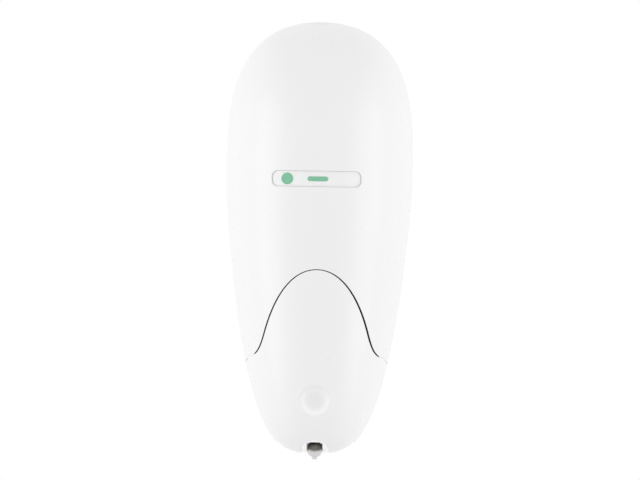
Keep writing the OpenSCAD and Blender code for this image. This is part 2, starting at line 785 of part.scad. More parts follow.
module cover_shell() place() color("white") resize([0, 0, 0]) difference() {
    union() {
        hollow_body();
        intersection() {
            body_solid(skin / 2, wall_gap);
            union() {
                both_sides() for (k = [0, 1]) translate([pillar_x(k), 0, pillar_z[k]])
                    rod_y(pillar_r, -arm_front - pillar_depth[k], -arm_front, 0, 0, mesh_fn);
                rod_z(boss_r, lock_boss_low, body_h, 0, -lock_y, mesh_fn);
            }
        }
    }
    through() under_seam();
    intersection() {
        front_half() through() label_area(0);
        layer(-cut, label_depth);
    }
    rod_z(sleeve_r + fit_gap, widest_h, body_h + cut, 0, -lock_y, mesh_fn);
    rod_z(lock_head_r + fit_gap, lock_top - lock_head_t, body_h + cut, 0, -lock_y, mesh_fn);
    both_sides() for (k = [0, 1]) translate([pillar_x(k), 0, pillar_z[k]])
        rod_y(mesh_screw_r, -arm_front - frame_screw_h + arm_t - sink, -arm_front + cut, 0, 0, mesh_fn);
}

module label_card() place() color("white") resize([0, 0, 0]) intersection() {
    front_half() through() label_area(-fit_gap);
    layer(label_depth - card_t, label_depth);
}

module label_window() place() color([0.9, 0.95, 0.97, 0.35]) resize([0, 0, 0]) intersection() {
    front_half() through() label_area(-rest_gap);
    layer(window_drop, label_depth - card_t);
}

// Side arm of the frame: follows the body's outline and stays beside the refill
function arm_outer(z) =
    max(frame_ear_end, half_w(z, skin) - (z < seam_base ? arm_clear_low : arm_clear));
module frame_arm() polygon(concat(
    [for (z = arm_levels) [arm_outer(z), z]],
    [for (i = [len(arm_levels) - 1 : -1 : 0])
        [max(frame_ear_x, arm_outer(arm_levels[i]) - arm_w), arm_levels[i]]]
));

module cover_frame() place() color("gainsboro") difference() {
    both_sides() {
        translate([0, -arm_front + arm_t, 0]) on_wall(arm_t) frame_arm();
        rod_x(hinge_ear_r, frame_ear_x, frame_ear_end, -hinge_y, hinge_z);
        box([frame_ear_x, -arm_front, hinge_z], [frame_ear_end, -hinge_y, hinge_z + hinge_ear_r]);
        box([-slide_gap, -arm_front, bar_z], [frame_ear_end, -arm_front + arm_t, bar_z + bar_h]);
        side_plate(cheek_in, cheek_out) polygon([
            [arm_front - arm_t, cheek_low], [arm_front - arm_t, arm_top],
            [pivot_y, pivot_z + cheek_boss_r - 1],
            [stop_y + stop_r, stop_z], [stop_y, stop_z - stop_r]
        ]);
        rod_x(cheek_boss_r, cheek_in, cheek_out, -pivot_y, pivot_z);
        rod_x(stop_r + bumper_t, cheek_in, cheek_out, -stop_y, stop_z);
        rod_x(stop_r, ear_in, cheek_in + 0.5, -stop_y, stop_z);
        rod_x(cheek_boss_r - 1.5, cheek_out - 0.5, cheek_out + 1, -pivot_y, pivot_z);
    }
    both_sides() {
        rod_x(hinge_pin_r + running_play, frame_ear_x - cut, frame_ear_end + cut, -hinge_y, hinge_z);
        rod_x(pivot_pin_r, cheek_in - cut, cheek_out + 2, -pivot_y, pivot_z);
        for (k = [0, 1])
            rod_y(screw_r, -arm_front - cut, -arm_front + arm_t + cut, pillar_x(k), pillar_z[k]);
    }
}

module frame_screws() place() color("silver") both_sides() for (k = [0, 1])
    screw_y(pillar_x(k), pillar_z[k], -arm_front + arm_t, frame_screw_h);

module pivot_pins() place() color("silver") both_sides()
    rod_x(pivot_pin_r, ear_in - 0.2, cheek_out + 1, -pivot_y, pivot_z);

module stop_bumpers() place() color("dimgray") both_sides() difference() {
    rod_x(stop_r + bumper_t, ear_in, cheek_in, -stop_y, stop_z);
    rod_x(stop_r, ear_in - cut, cheek_in + cut, -stop_y, stop_z);
}

// ---------------------------------------------------------------- lock

module lock_housing() place() color("silver") difference() {
    union() {
        rod_z(sleeve_r, sleeve_low, lock_top - sink, 0, -lock_y);
        rod_z(lock_head_r, lock_top - lock_head_t, lock_top, 0, -lock_y);
    }
    rod_z(plug_r + running_play, sleeve_low - cut, lock_top + cut, 0, -lock_y);
}

module lock_nut() place() color("silver") difference() {
    rod_z(nut_r, lock_boss_low - nut_t, lock_boss_low, 0, -lock_y, 6);
    rod_z(sleeve_r, lock_boss_low - nut_t - cut, lock_boss_low + cut, 0, -lock_y);
}

module lock_plug() place() color("silver") difference() {
    rod_z(plug_r, plug_low, lock_top - plug_recess, 0, -lock_y);
    difference() {
        rod_z(key_r, lock_top - key_depth, lock_top, 0, -lock_y);
        rod_z(key_r - key_t, lock_top - key_depth - cut, lock_top + cut, 0, -lock_y);
    }
    rod_z(screw_r, plug_low - cut, plug_low + cam_screw_h + cut, 0, -lock_y);
}

module lock_cam() place() color("silver") difference() {
    union() {
        rod_z(plug_r + 1, cam_low, plug_low, 0, -lock_y);
        box([-cam_w / 2, -lock_y, cam_low], [cam_w / 2, -lock_y + cam_reach, plug_low]);
    }
    rod_z(screw_r, cam_low - cut, plug_low + cut, 0, -lock_y);
}

module cam_screw() place() color("silver") {
    rod_z(screw_r, cam_low - sink, plug_low + cam_screw_h, 0, -lock_y);
    rod_z(screw_head_r, cam_low - screw_head_t, cam_low, 0, -lock_y);
}

// ---------------------------------------------------------------- lever

// Space behind the pivot that lets the lever's sides rise as it is pressed
module relief() {
    rise = tan(press_angle + 1);
    both_sides() side_plate(0, body_w) polygon([
        [pivot_y, seam_base - seam_gap], [0, seam_base - seam_gap - pivot_y * rise],
        [0, seam_base + pivot_y], [pivot_y, seam_base + pivot_y]
    ]);
}

module push_lever() place() color("white") resize([0, 0, 0]) difference() {
    union() {
        hollow_body();
        intersection() {
            body_solid(skin / 2, wall_gap);
            union() {
                rod_y(backing_r, -body_d, -tongue_front, 0, dimple_z, mesh_fn);
                difference() {
                    both_sides() rod_y(screw_r + 2, -body_d, 0, arm_screw_x, arm_screw_z, mesh_fn);
                    linear_extrude(height = pivot_z) polygon(section(band_z, band_inset, -cut));
                }
            }
        }
    }
    through() offset(delta = seam_gap) difference() {
        square([3 * body_w, 3 * body_h], center = true);
        under_seam();
    }
    relief();
    through() arch(notch_w, notch_h);
    box([-bay_x, -bay_front, -cut], [bay_x, cut, 3 * hinge_z]);
    box([-beyond, -lever_rear, -cut], [beyond, beyond, body_h]);
    dimple();
    both_sides() rod_y(mesh_screw_r, -screw_tip, 0, arm_screw_x, arm_screw_z, mesh_fn);
    nozzle_way();
}

// Shallow bowl whose axis stands square on the leaning front
module dimple() {
    ball = (dimple_dia * dimple_dia / 4 + dimple_depth * dimple_depth) / (2 * dimple_depth);
    lean = atan((front_y(dimple_z + 2, 0) - front_y(dimple_z - 2, 0)) / 4);
    translate([0, -lever_front, dimple_z]) rotate([lean, 0, 0]) translate([0, dimple_depth - ball, 0])
        sphere(r = ball, $fn = 96);
}

// Space that the nozzle needs inside the lever when the lever is pressed
module nozzle_way() {
    needed = axis_y + teat_neck_r + lever_sweep + rest_gap;
    front = min(needed, front_y(notch_h - bezel_top, 0) - bezel_lip);
    half = nozzle_r + rest_gap;
    box([-half, -front, -cut], [half, -bay_front + cut, outlet_low]);
}

module spout_bezel() place() color("white") resize([0, 0, 0]) difference() {
    intersection() {
        layer(bezel_drop, skin);
        through() difference() {
            arch(notch_w - 2 * fit_gap, notch_h - fit_gap);
            slot(notch_w - 2 * bezel_rim, notch_h - bezel_top);
        }
        box([-body_w, -body_d, -cut], [body_w, -bay_front - bezel_end, 3 * notch_h]);
    }
    nozzle_way();
}

// Level ring of the lever's inner wall, between two insets and in front of a line
module band(a, b, front) translate([0, 0, band_z]) linear_extrude(height = band_h) difference() {
    polygon(section(band_z, a, 0));
    polygon(section(band_z, b, -cut));
    translate([-beyond, -front]) square([2 * beyond, beyond]);
}

module lever_arms() place() color("gainsboro") difference() {
    union() {
        band(band_inset, band_inset + band_t, band_y);
        both_sides() {
            box([foot_x - ear_t, -pivot_y - ear_half, band_z], [foot_x, -band_y, foot_top]);
            hull() {
                box([foot_x - ear_t, -pivot_y - ear_half, foot_top - 1], [foot_x, -band_y, foot_top]);
                box([ear_in, -pivot_y - ear_half, joggle_top], [ear_in + ear_t, -band_y, joggle_top + 1]);
            }
            box([ear_in, -pivot_y - ear_half, joggle_top], [ear_in + ear_t, -band_y, pivot_z]);
            rod_x(ear_half + 1.5, ear_in, ear_in + ear_t, -pivot_y, pivot_z);
            box([arm_screw_x - screw_block_w / 2, -screw_seat, band_z],
                [arm_screw_x + screw_block_w / 2, -screw_face, band_z + band_h]);
        }
        box([-tongue_w / 2, -band_front, band_z],
            [tongue_w / 2, -tongue_front + tongue_t, band_z + band_h]);
        box([-tongue_w / 2, -tongue_front, tongue_low],
            [tongue_w / 2, -tongue_front + tongue_t, band_z + 1]);
        rod_y(pad_r, -tongue_front + 1, -tongue_front + tongue_t + pad_seat, 0, dimple_z);
    }
    both_sides() {
        rod_x(pivot_pin_r + running_play, ear_in - cut, ear_in + ear_t + cut, -pivot_y, pivot_z);
        rod_y(screw_r, -body_d, -screw_face + cut, arm_screw_x, arm_screw_z);
    }
}

module arm_screws() place() color("silver") both_sides() {
    rod_y(screw_r, -screw_tip, -screw_face, arm_screw_x, arm_screw_z);
    rod_y(screw_head_r, -screw_face, -screw_face + screw_head_t, arm_screw_x, arm_screw_z);
}

// Rubber pad with a domed face towards the piston
module presser_pad() place() color("dimgray") {
    edge = asin(pad_r / pad_dome_r);
    translate([0, -pad_tip, dimple_z]) rotate([-90, 0, 0]) rotate_extrude($fn = round_fn) polygon(concat(
        [[0, -pad_t], [0, 0]],
        rounding([0, -pad_dome_r], pad_dome_r, 90 - edge / 8, 90 - edge, 7),
        [[pad_r, -pad_t]]
    ));
}

// ---------------------------------------------------------------- assembly

back_plate();
hinge_pin();
lock_keeper();
keeper_screws();
refill_cradle();
cradle_screws();
refill_bottle();
bottle_cap();
cap_gasket();
pump_body();
pump_screws();
ball_cage();
inlet_ball();
pump_piston();
piston_seal();
pump_spring();
outlet_valve();
nozzle_teat();
cover_shell();
label_card();
label_window();
cover_frame();
frame_screws();
pivot_pins();
stop_bumpers();
lock_housing();
lock_nut();
lock_plug();
lock_cam();
cam_screw();
push_lever();
spout_bezel();
lever_arms();
arm_screws();
presser_pad();
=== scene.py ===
import json
import math

import bmesh
import bpy
import numpy as np
from mathutils import Matrix, Vector


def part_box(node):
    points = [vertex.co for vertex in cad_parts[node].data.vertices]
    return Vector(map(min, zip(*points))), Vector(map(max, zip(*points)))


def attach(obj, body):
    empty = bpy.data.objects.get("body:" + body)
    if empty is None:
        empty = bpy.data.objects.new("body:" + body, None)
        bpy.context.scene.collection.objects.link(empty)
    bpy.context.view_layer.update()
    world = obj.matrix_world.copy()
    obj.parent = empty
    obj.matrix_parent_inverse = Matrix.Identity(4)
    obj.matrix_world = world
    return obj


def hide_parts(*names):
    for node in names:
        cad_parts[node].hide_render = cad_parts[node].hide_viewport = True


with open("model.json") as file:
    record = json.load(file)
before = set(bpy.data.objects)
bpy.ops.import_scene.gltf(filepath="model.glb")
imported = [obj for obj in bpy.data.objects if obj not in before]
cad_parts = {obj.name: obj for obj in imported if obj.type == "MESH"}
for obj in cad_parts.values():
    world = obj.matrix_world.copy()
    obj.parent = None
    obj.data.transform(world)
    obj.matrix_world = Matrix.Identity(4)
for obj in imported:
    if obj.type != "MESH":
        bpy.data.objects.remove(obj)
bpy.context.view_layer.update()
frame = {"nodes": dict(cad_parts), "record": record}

# ---------------------------------------------------------------- sizes, in metres

MM = 0.001

# Body: an upright egg with a flat rear and straight sides near the wall
BODY_W = 122.8 * MM
BODY_H = 285 * MM
BODY_D = 105 * MM
WIDEST_H = 178 * MM
SIDE_D = 15 * MM
SKIN = 2.5 * MM
COVER_REAR = 1 * MM
LEVER_REAR = 16 * MM

# Powers of its curves: round the section, then above and below the widest level in both views
ROUND_N = 2.4
FRONT_UP = (3.45, 2.2)
FRONT_DOWN = (1.249, 3.365)
SIDE_UP = (2.4, 2.2)
SIDE_DOWN = (1.25, 5.5)

# Parting line between cover and lever: half a bell of two curves, in shares of its reach and height
SEAM_TOP = 121.8 * MM
SEAM_BASE = 64.5 * MM
SEAM_REACH = 43.5 * MM
SEAM_SHOULDER = ((0, 1), (0.37, 1), (0.64, 0.71), (0.79, 0.276))
SEAM_FOOT = ((0.79, 0.276), (0.85, 0.098), (0.90, 0.014), (1, 0))

# The gap along it: narrow where the line is level, wider where it is steep
GAP_LEVEL = 0.5 * MM
GAP_LEFT = 0.9 * MM
GAP_RIGHT = 1.2 * MM
EDGE_ROUND = 0.35 * MM

# The lever's side edges slope down behind its pivot, and the cover's thin side lips cover them
PIVOT_Y = 50 * MM
PRESS_RISE = math.tan(math.radians(6.5))
LIP_T = 0.22 * MM
LIP_PLAY = 0.12 * MM
LIP_LAP = 0.8 * MM

# Label: a card in a recess, its window, and a plain dot and bar on it
LABEL_W = 58.5 * MM
LABEL_H = 10.5 * MM
LABEL_X = -1.2 * MM
LABEL_CORNER = 4 * MM
LABEL_DEPTH = 1.2 * MM
CARD_T = 0.4 * MM
WINDOW_DROP = 0.15 * MM
WINDOW_PLAY = 0.4 * MM
DOT_W = 7.8 * MM
DOT_X = -19.1 * MM
BAR_W = 13.6 * MM
BAR_H = 3.2 * MM
BAR_X = 0.9 * MM

# Lever: dimple, notch, bezel, hinge bay
DIMPLE_R = 10.3 * MM
DIMPLE_DEPTH = 2.0 * MM
DIMPLE_FLAT = 3.2
DIMPLE_RISE = 0.9 * MM
DIMPLE_RIM = 0.25 * MM
NOTCH_W = 17.8 * MM
NOTCH_H = 9.4 * MM
NOTCH_SQUASH = 0.62
SLOT_ROUND = 1.2 * MM
SLOT_SQUARE = 0.45
BEZEL_RIM = 3.7 * MM
BEZEL_TOP = 1.3 * MM
BEZEL_SWELL = 0.45 * MM
BAY_X = 25.2 * MM
BAY_FRONT = 34 * MM
FIT = 0.1 * MM

# Lock: its sleeve's bore through the cover, and how far its counterbore sinks under the head
LOCK_BORE_R = 8.1 * MM
LOCK_SINK = 1.5 * MM

# Mesh: how far cutters run past the surface, and in degrees the edges that get a round or stay sharp
OVERRUN = 5 * MM
OVERRUN_LABEL = 2 * MM
ROUND_FROM = 50
ROUND_SEGMENTS = 3
SKIN_CREASE = 38
PIECE_CREASE = 40

# Searches: how often a range is halved, and amounts too small to matter
HALVINGS = 48
TINY = 1e-7
NOT_ZERO = 1e-9

# Places taken from the CAD boxes


def middle_of(box, axis):
    """Middle of a box along one axis."""
    return (box[0][axis] + box[1][axis]) / 2


X, Y, Z = range(3)
teat_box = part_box("nozzle_teat")
NOZZLE_DROP = 3.3 * MM
AXIS_Y = middle_of(teat_box, Y)
BOTTOM = teat_box[0][Z] + NOZZLE_DROP
LABEL_Z = middle_of(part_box("label_card"), Z) - BOTTOM
DIMPLE_Z = middle_of(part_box("pump_piston"), Z) - BOTTOM + DIMPLE_RISE
lock_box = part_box("lock_housing")
LOCK_Y = middle_of(lock_box, Y)
LOCK_TOP = lock_box[1][Z] - BOTTOM
LOCK_HEAD_R = (lock_box[1][X] - lock_box[0][X]) / 2
plug_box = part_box("lock_plug")
LOCK_PLUG_R = (plug_box[1][X] - plug_box[0][X]) / 2

# ---------------------------------------------------------------- the body's surface
# Heights are counted from the bottom of the body; new_object() lifts a mesh to the frame's origin.


def superellipse(u, powers):
    """Falls from 1 at the middle to 0 at u = 1."""
    return np.maximum(0, 1 - np.minimum(1, np.abs(u)) ** powers[0]) ** (1 / powers[1])


def width_depth(z, inset=0.0):
    """Half width and depth of the body at heights z, drawn in by an inset."""
    z = np.asarray(z, float)
    up = z >= WIDEST_H
    above = (z - WIDEST_H) / (BODY_H - inset - WIDEST_H)
    below = (WIDEST_H - z) / (WIDEST_H - inset)
    reach = np.where(up, above, below)
    w = (BODY_W / 2 - inset) * np.where(up, superellipse(reach, FRONT_UP), superellipse(reach, FRONT_DOWN))
    d = (BODY_D - inset) * np.where(up, superellipse(reach, SIDE_UP), superellipse(reach, SIDE_DOWN))
    return w, d


def straight_side(d):
    """How far the straight sides reach from the wall: at most a quarter of the depth."""
    return np.minimum(SIDE_D, d / 4)


def front(x, z, inset=0.0):
    """Distance of the body's front from the wall at (x, z)."""
    w, d = width_depth(z, inset)
    s = straight_side(d)
    share = np.minimum(1, np.abs(x) / np.maximum(w, NOT_ZERO))
    return s + (d - s) * (1 - share ** ROUND_N) ** (1 / ROUND_N)


def half_width(depth, z, inset=0.0):
    """Half width of the body at a distance from the wall and a height."""
    w, d = width_depth(z, inset)
    s = straight_side(d)
    share = np.clip((depth - s) / (d - s), 0, 1)
    return w * (1 - share ** ROUND_N) ** (1 / ROUND_N)


def outward(x, z):
    """Unit normals of the outer surface at front-view points (x, z)."""
    step = 0.02 * MM
    gx = (front(x + step, z) - front(x - step, z)) / (2 * step)
    gz = (front(x, z + step) - front(x, z - step)) / (2 * step)
    n = np.stack([-gx, -np.ones_like(gx), -gz], axis=-1)
    return n / np.linalg.norm(n, axis=-1, keepdims=True)


def halved(low, high, over):
    """Closes in on the place between low and high where over() turns true."""
    for _ in range(HALVINGS):
        middle = (low + high) / 2
        past = over(middle)
        high = np.where(past, middle, high)
        low = np.where(past, low, middle)
    return (low + high) / 2


def height_under(x, y):
    """Height of the body's underside below a point (x, -y) near its foot."""
    highest = 60 * MM
    low, high = np.full(np.shape(x), TINY), np.full(np.shape(x), highest)
    return halved(low, high, lambda z: front(x, z) > y)


def height_over(x, y):
    """Height of the body's top above a point (x, -y)."""
    low, high = np.full(np.shape(x), WIDEST_H), np.full(np.shape(x), BODY_H - TINY)
    return halved(low, high, lambda z: (front(x, z) <= y) | (np.abs(x) >= width_depth(z)[0]))


def grow(step):
    """Height reached at a smooth step from the bottom (-1) through the widest level (0) to the top (1),
    as a share of the lower or the upper part. The steps are shorter where the body closes."""
    bottom_power, top_power = 4, 2
    step = np.asarray(step, float)
    low = -(1 - np.clip(1 + step, 0, 1) ** bottom_power) ** (1 / FRONT_DOWN[0])
    high = 1 - (1 - np.clip(step, 0, 1)) ** top_power
    return np.where(step < 0, low, high)


def height(share, inset):
    """Height at a share of the lower (below 0) or the upper part."""
    return WIDEST_H + np.where(share < 0, share * (WIDEST_H - inset), share * (BODY_H - inset - WIDEST_H))


def level_table():
    """Even steps along the outline: position 0...1 against the smooth step."""
    samples = 6001
    step = np.linspace(-1, 1, samples)
    z = height(grow(step), 0)
    w, d = width_depth(z)
    piece = np.sqrt(np.diff(w) ** 2 + np.diff(d) ** 2 + np.diff(z) ** 2)
    length = np.concatenate([[0], np.cumsum(piece)])
    return length / length[-1], step


LEVEL_AT, LEVEL_STEP = level_table()


def section(level, column, inset, rear):
    """Points of the body's section at levels 0...1. Columns run from -1 to 0 along the straight
    right side, from 0 to 1 round the front and from 1 to 2 along the left side."""
    z = height(grow(np.interp(level, LEVEL_AT, LEVEL_STEP)), inset)
    w, d = width_depth(z, inset)
    s = straight_side(d)
    skip = np.clip((rear - s) / np.maximum(d - s, NOT_ZERO), 0, 1)
    start = np.arcsin(skip ** (ROUND_N / 2))
    turn = start + (math.pi - 2 * start) * np.clip(column, 0, 1)
    c, k = np.cos(turn), np.sin(turn)
    x = np.sign(c) * w * np.abs(c) ** (2 / ROUND_N)
    y = s + (d - s) * np.maximum(k, 0) ** (2 / ROUND_N)
    back = np.clip(np.maximum(-column, column - 1), 0, 1)
    y = np.maximum(y - back * np.maximum(y - rear, 0), rear)
    return np.stack([x, -y, z], axis=-1)


# ---------------------------------------------------------------- the parting line


def bezier(points, t):
    """Cubic curve through four control points."""
    p = np.asarray(points, float)
    t = np.asarray(t)[:, None]
    return (1 - t) ** 3 * p[0] + 3 * (1 - t) ** 2 * t * p[1] + 3 * (1 - t) * t ** 2 * p[2] + t ** 3 * p[3]


def seam_table():
    """The parting line's right half, and the way square to it, down and inwards."""
    samples = 200
    t = np.linspace(0, 1, samples)
    share = np.concatenate([bezier(SEAM_SHOULDER, t), bezier(SEAM_FOOT, t[1:])])
    line = np.stack([share[:, 0] * SEAM_REACH, SEAM_BASE + share[:, 1] * (SEAM_TOP - SEAM_BASE)], axis=-1)
    along = np.gradient(line, axis=0)
    along /= np.linalg.norm(along, axis=1, keepdims=True)
    return line, np.stack([along[:, 1], -along[:, 0]], axis=-1)


def drawn_in(steep_gap):
    """The parting line moved by the gap, which is narrow where the line is level."""
    gap = GAP_LEVEL + (steep_gap - GAP_LEVEL) * SEAM_WAY[:, :1] ** 2
    return SEAM + gap * SEAM_WAY


SEAM, SEAM_WAY = seam_table()
SEAM_IN_LEFT, SEAM_IN_RIGHT = drawn_in(GAP_LEFT), drawn_in(GAP_RIGHT)


def cover_edge(x, y):
    """Lower edge of the cover: the parting line, whatever the depth y."""
    return np.interp(np.abs(x), SEAM[:, 0], SEAM[:, 1])


def side_slope(depth):
    """Height of the lever's side edges, which slope down from the pivot to the rear."""
    return SEAM_BASE - GAP_LEVEL - np.maximum(PIVOT_Y - depth, 0) * PRESS_RISE


def lever_edge(x, y):
    """Upper edge of the lever: the parting line less the gap, and the slope behind the pivot."""
    left, right = (np.interp(np.abs(x), line[:, 0], line[:, 1]) for line in (SEAM_IN_LEFT, SEAM_IN_RIGHT))
    edge = np.where(x < 0, left, right)
    return np.where(y > -PIVOT_Y, np.minimum(edge, side_slope(-y)), edge)


def lip_low(depth):
    """Lower edge of the cover's side lips, just under the lever's sloping edge."""
    return side_slope(depth) - LIP_LAP


# ---------------------------------------------------------------- mesh helpers


def new_object(name, bm, smooth=True):
    """Object from a bmesh, lifted so that heights count from the frame's origin."""
    bmesh.ops.recalc_face_normals(bm, faces=bm.faces)
    bmesh.ops.translate(bm, vec=(0, 0, BOTTOM), verts=bm.verts)
    mesh = bpy.data.meshes.new(name)
    bm.to_mesh(mesh)
    bm.free()
    mesh.polygons.foreach_set("use_smooth", [smooth] * len(mesh.polygons))
    obj = bpy.data.objects.new(name, mesh)
    bpy.context.scene.collection.objects.link(obj)
    return obj


def vertex_grid(bm, x, depth, z):
    """Rows of vertices from arrays of x, distance from the wall and height."""
    points = np.stack(np.broadcast_arrays(x, -np.asarray(depth), z), axis=-1)
    return [[bm.verts.new(p) for p in row] for row in points]


def grid_faces(bm, rows, flip=False):
    """Quads between rows of vertices; a row is a list of BMVerts."""
    for a, b in zip(rows, rows[1:]):
        for i in range(len(a) - 1):
            corners = [a[i], a[i + 1], b[i + 1], b[i]]
            if flip:
                corners.reverse()
            corners = [v for k, v in enumerate(corners) if v is not corners[k - 1]]
            if len(corners) > 2:
                bm.faces.new(corners)


def strip(bm, a, b, closed=False, flip=False):
    """Quads between two lines of vertices."""
    if closed:
        a, b = a + a[:1], b + b[:1]
    grid_faces(bm, [a, b], flip)


def slab(bm, near, far):
    """Closes two grids of vertices into a thin solid."""
    grid_faces(bm, near)
    grid_faces(bm, far, flip=True)
    rims = [g[0] + [row[-1] for row in g[1:-1]] + g[-1][::-1] + [row[0] for row in g[-2:0:-1]]
            for g in (near, far)]
    strip(bm, *rims, closed=True, flip=True)


def bridge(bm, a, b, flip):
    """Fills the band between two lines with different numbers of points, both from low to high."""
    i = j = 0
    last_a, last_b = len(a) - 1, len(b) - 1
    while i < last_a or j < last_b:
        step_a = j == last_b or (i < last_a and (i + 1) * last_b <= (j + 1) * last_a)
        corners = [a[i], a[i + 1], b[j]] if step_a else [a[i], b[j + 1], b[j]]
        if flip:
            corners.reverse()
        if len(set(corners)) == 3:
            bm.faces.new(corners)
        i, j = (i + 1, j) if step_a else (i, j + 1)


def apply_modifiers(obj):
    """Replaces the mesh by its evaluated form."""
    graph = bpy.context.evaluated_depsgraph_get()
    mesh = bpy.data.meshes.new_from_object(obj.evaluated_get(graph))
    old = obj.data
    obj.modifiers.clear()
    obj.data = mesh
    bpy.data.meshes.remove(old)


def carve(obj, cutter):
    """Exact difference with a cutter that is then removed."""
    mod = obj.modifiers.new("carve", "BOOLEAN")
    mod.operation = "DIFFERENCE"
    mod.solver = "EXACT"
    mod.object = cutter
    apply_modifiers(obj)
    mesh = cutter.data
    bpy.data.objects.remove(cutter)
    bpy.data.meshes.remove(mesh)


def sharpen(obj, degrees=PIECE_CREASE):
    """Smooth shading that stays sharp where faces meet at more than an angle."""
    bm = bmesh.new()
    bm.from_mesh(obj.data)
    limit = math.radians(degrees)
    for e in bm.edges:
        e.smooth = not (len(e.link_faces) == 2 and e.calc_face_angle(0) > limit)
    for f in bm.faces:
        f.smooth = True
    bm.to_mesh(obj.data)
    bm.free()


def round_edges(obj):
    """Small round on a shell's sharp edges."""
    mod = obj.modifiers.new("bevel", "BEVEL")
    mod.width = EDGE_ROUND
    mod.segments = ROUND_SEGMENTS
    mod.limit_method = "ANGLE"
    mod.angle_limit = math.radians(ROUND_FROM)
    mod.use_clamp_overlap = False
    apply_modifiers(obj)


def hold_back(obj, rear, top):
    """Pulls in points that the round pushed past the rear plane or over the top."""
    for v in obj.data.vertices:
        v.co.y = min(v.co.y, -rear)
        v.co.z = min(v.co.z, BOTTOM + top)


def finish_shell(obj):
    """Sharp creases and normals weighted by face size, for even reflections on a carved shell."""
    sharpen(obj, SKIN_CREASE)
    mod = obj.modifiers.new("normals", "WEIGHTED_NORMAL")
    mod.keep_sharp = True
    mod.weight = 80


def box_cutter(lo, hi):
    """Block between two corners, only ever used to cut."""
    bm = bmesh.new()
    bmesh.ops.create_cube(bm, size=1)
    size = Vector(hi) - Vector(lo)
    bmesh.ops.scale(bm, vec=size, verts=bm.verts)
    bmesh.ops.translate(bm, vec=Vector(lo) + size / 2, verts=bm.verts)
    return new_object("cutter", bm, smooth=False)


def prism_cutter(outline, y0, y1):
    """Front-view outline pushed from y0 to y1."""
    bm = bmesh.new()
    near = [bm.verts.new((x, y0, z)) for x, z in outline]
    far = [bm.verts.new((x, y1, z)) for x, z in outline]
    strip(bm, near, far, closed=True)
    bm.faces.new(near[::-1])
    bm.faces.new(far)
    return new_object("cutter", bm, smooth=False)


def lathe(name, profile, y, steps=64):
    """Piece turned about an upright axis at (0, y), from (radius, height) points."""
    bm = bmesh.new()
    turns = [2 * math.pi * k / steps for k in range(steps)]
    rings = []
    for r, h in profile:
        if r < TINY:
            rings.append([bm.verts.new((0, y, h))] * steps)
        else:
            rings.append([bm.verts.new((r * math.cos(a), y + r * math.sin(a), h)) for a in turns])
    for a, b in zip(rings, rings[1:]):
        strip(bm, a, b, closed=True)
    return new_object(name, bm)


def lock_cutter(radius, low, high):
    """Upright round cutter on the lock's axis."""
    return lathe("cutter", [(0, low), (radius, low), (radius, high), (0, high)], LOCK_Y)


def arc(centre, radii, start, end, count):
    """Points of an upright elliptic arc from one angle to another, in degrees."""
    angles = [math.radians(start + (end - start) * k / (count - 1)) for k in range(count)]
    return [(centre[0] + radii[0] * math.cos(a), centre[1] + radii[1] * math.sin(a)) for a in angles]


def round_rod(bm, a, b, radius, steps=32, inset=None):
    """Rod between two points with its first rim bevelled; with an inset it stays inside the body."""
    a, b = Vector(a), Vector(b)
    turn = (b - a).to_track_quat("Z", "Y").to_matrix()
    length = (b - a).length
    of_radius, of_length = 0.15, 0.3
    soft = min(radius * of_radius, length * of_length)
    rings = []
    for r, h in ((0, 0), (radius - soft, 0), (radius, soft), (radius, length), (0, length)):
        ring = []
        for k in range(steps if r > 0 else 1):
            angle = 2 * math.pi * k / steps
            p = a + turn @ Vector((r * math.cos(angle), r * math.sin(angle), h))
            if inset is not None:
                p = keep_inside(p, inset)
            ring.append(bm.verts.new(p))
        rings.append(ring if len(ring) > 1 else ring * steps)
    for p, q in zip(rings, rings[1:]):
        strip(bm, p, q, closed=True)


def keep_inside(p, inset):
    """Moves a point back to the surface drawn in by an inset, downwards and then sideways."""
    z = min(p.z, BODY_H - inset)
    down, tries, tolerance = 0.25 * MM, 60, 1e-6
    for _ in range(tries):
        w, d = width_depth(z, inset)
        if d > -p.y + tolerance and w > tolerance:
            break
        z -= down
    limit = float(half_width(-p.y, z, inset))
    return Vector((max(-limit, min(limit, p.x)), p.y, z))


# ---------------------------------------------------------------- shells


def edge_level(columns, inset, rear, edge):
    """Level at which each column of the surface meets an edge."""
    def over(level):
        p = section(level, columns, inset, rear)
        return p[:, 2] > edge(p[:, 0], p[:, 1])

    lowest_step, widest_step = -0.9, 0
    low, high = (np.full(len(columns), np.interp(step, LEVEL_STEP, LEVEL_AT))
                 for step in (lowest_step, widest_step))
    return halved(low, high, over)


def first_level(rear, inset):
    """Level from which the body reaches a little further forward than the rear edge."""
    little_past = 1.02

    def over(level):
        z = height(grow(np.interp(level, LEVEL_AT, LEVEL_STEP)), inset)
        return width_depth(z, inset)[1] > little_past * rear

    return halved(0.0, 0.5, over)


def column_steps(sides):
    """Columns, closer together at the front where the small details are."""
    near_share, near_count, far_count, side_count = 0.26, 33, 72, 6
    near = np.linspace(0, near_share, near_count)
    far = np.linspace(math.acos(near_share ** (ROUND_N / 2)), 0, far_count)[1:]
    turn = np.concatenate([np.arccos(near ** (ROUND_N / 2)), far]) / math.pi
    round_front = np.concatenate([turn[::-1], 1 - turn[1:]])
    if not sides:
        return round_front
    side = np.linspace(0, 1, side_count)[1:]
    return np.concatenate([-side[::-1], round_front, 1 + side])


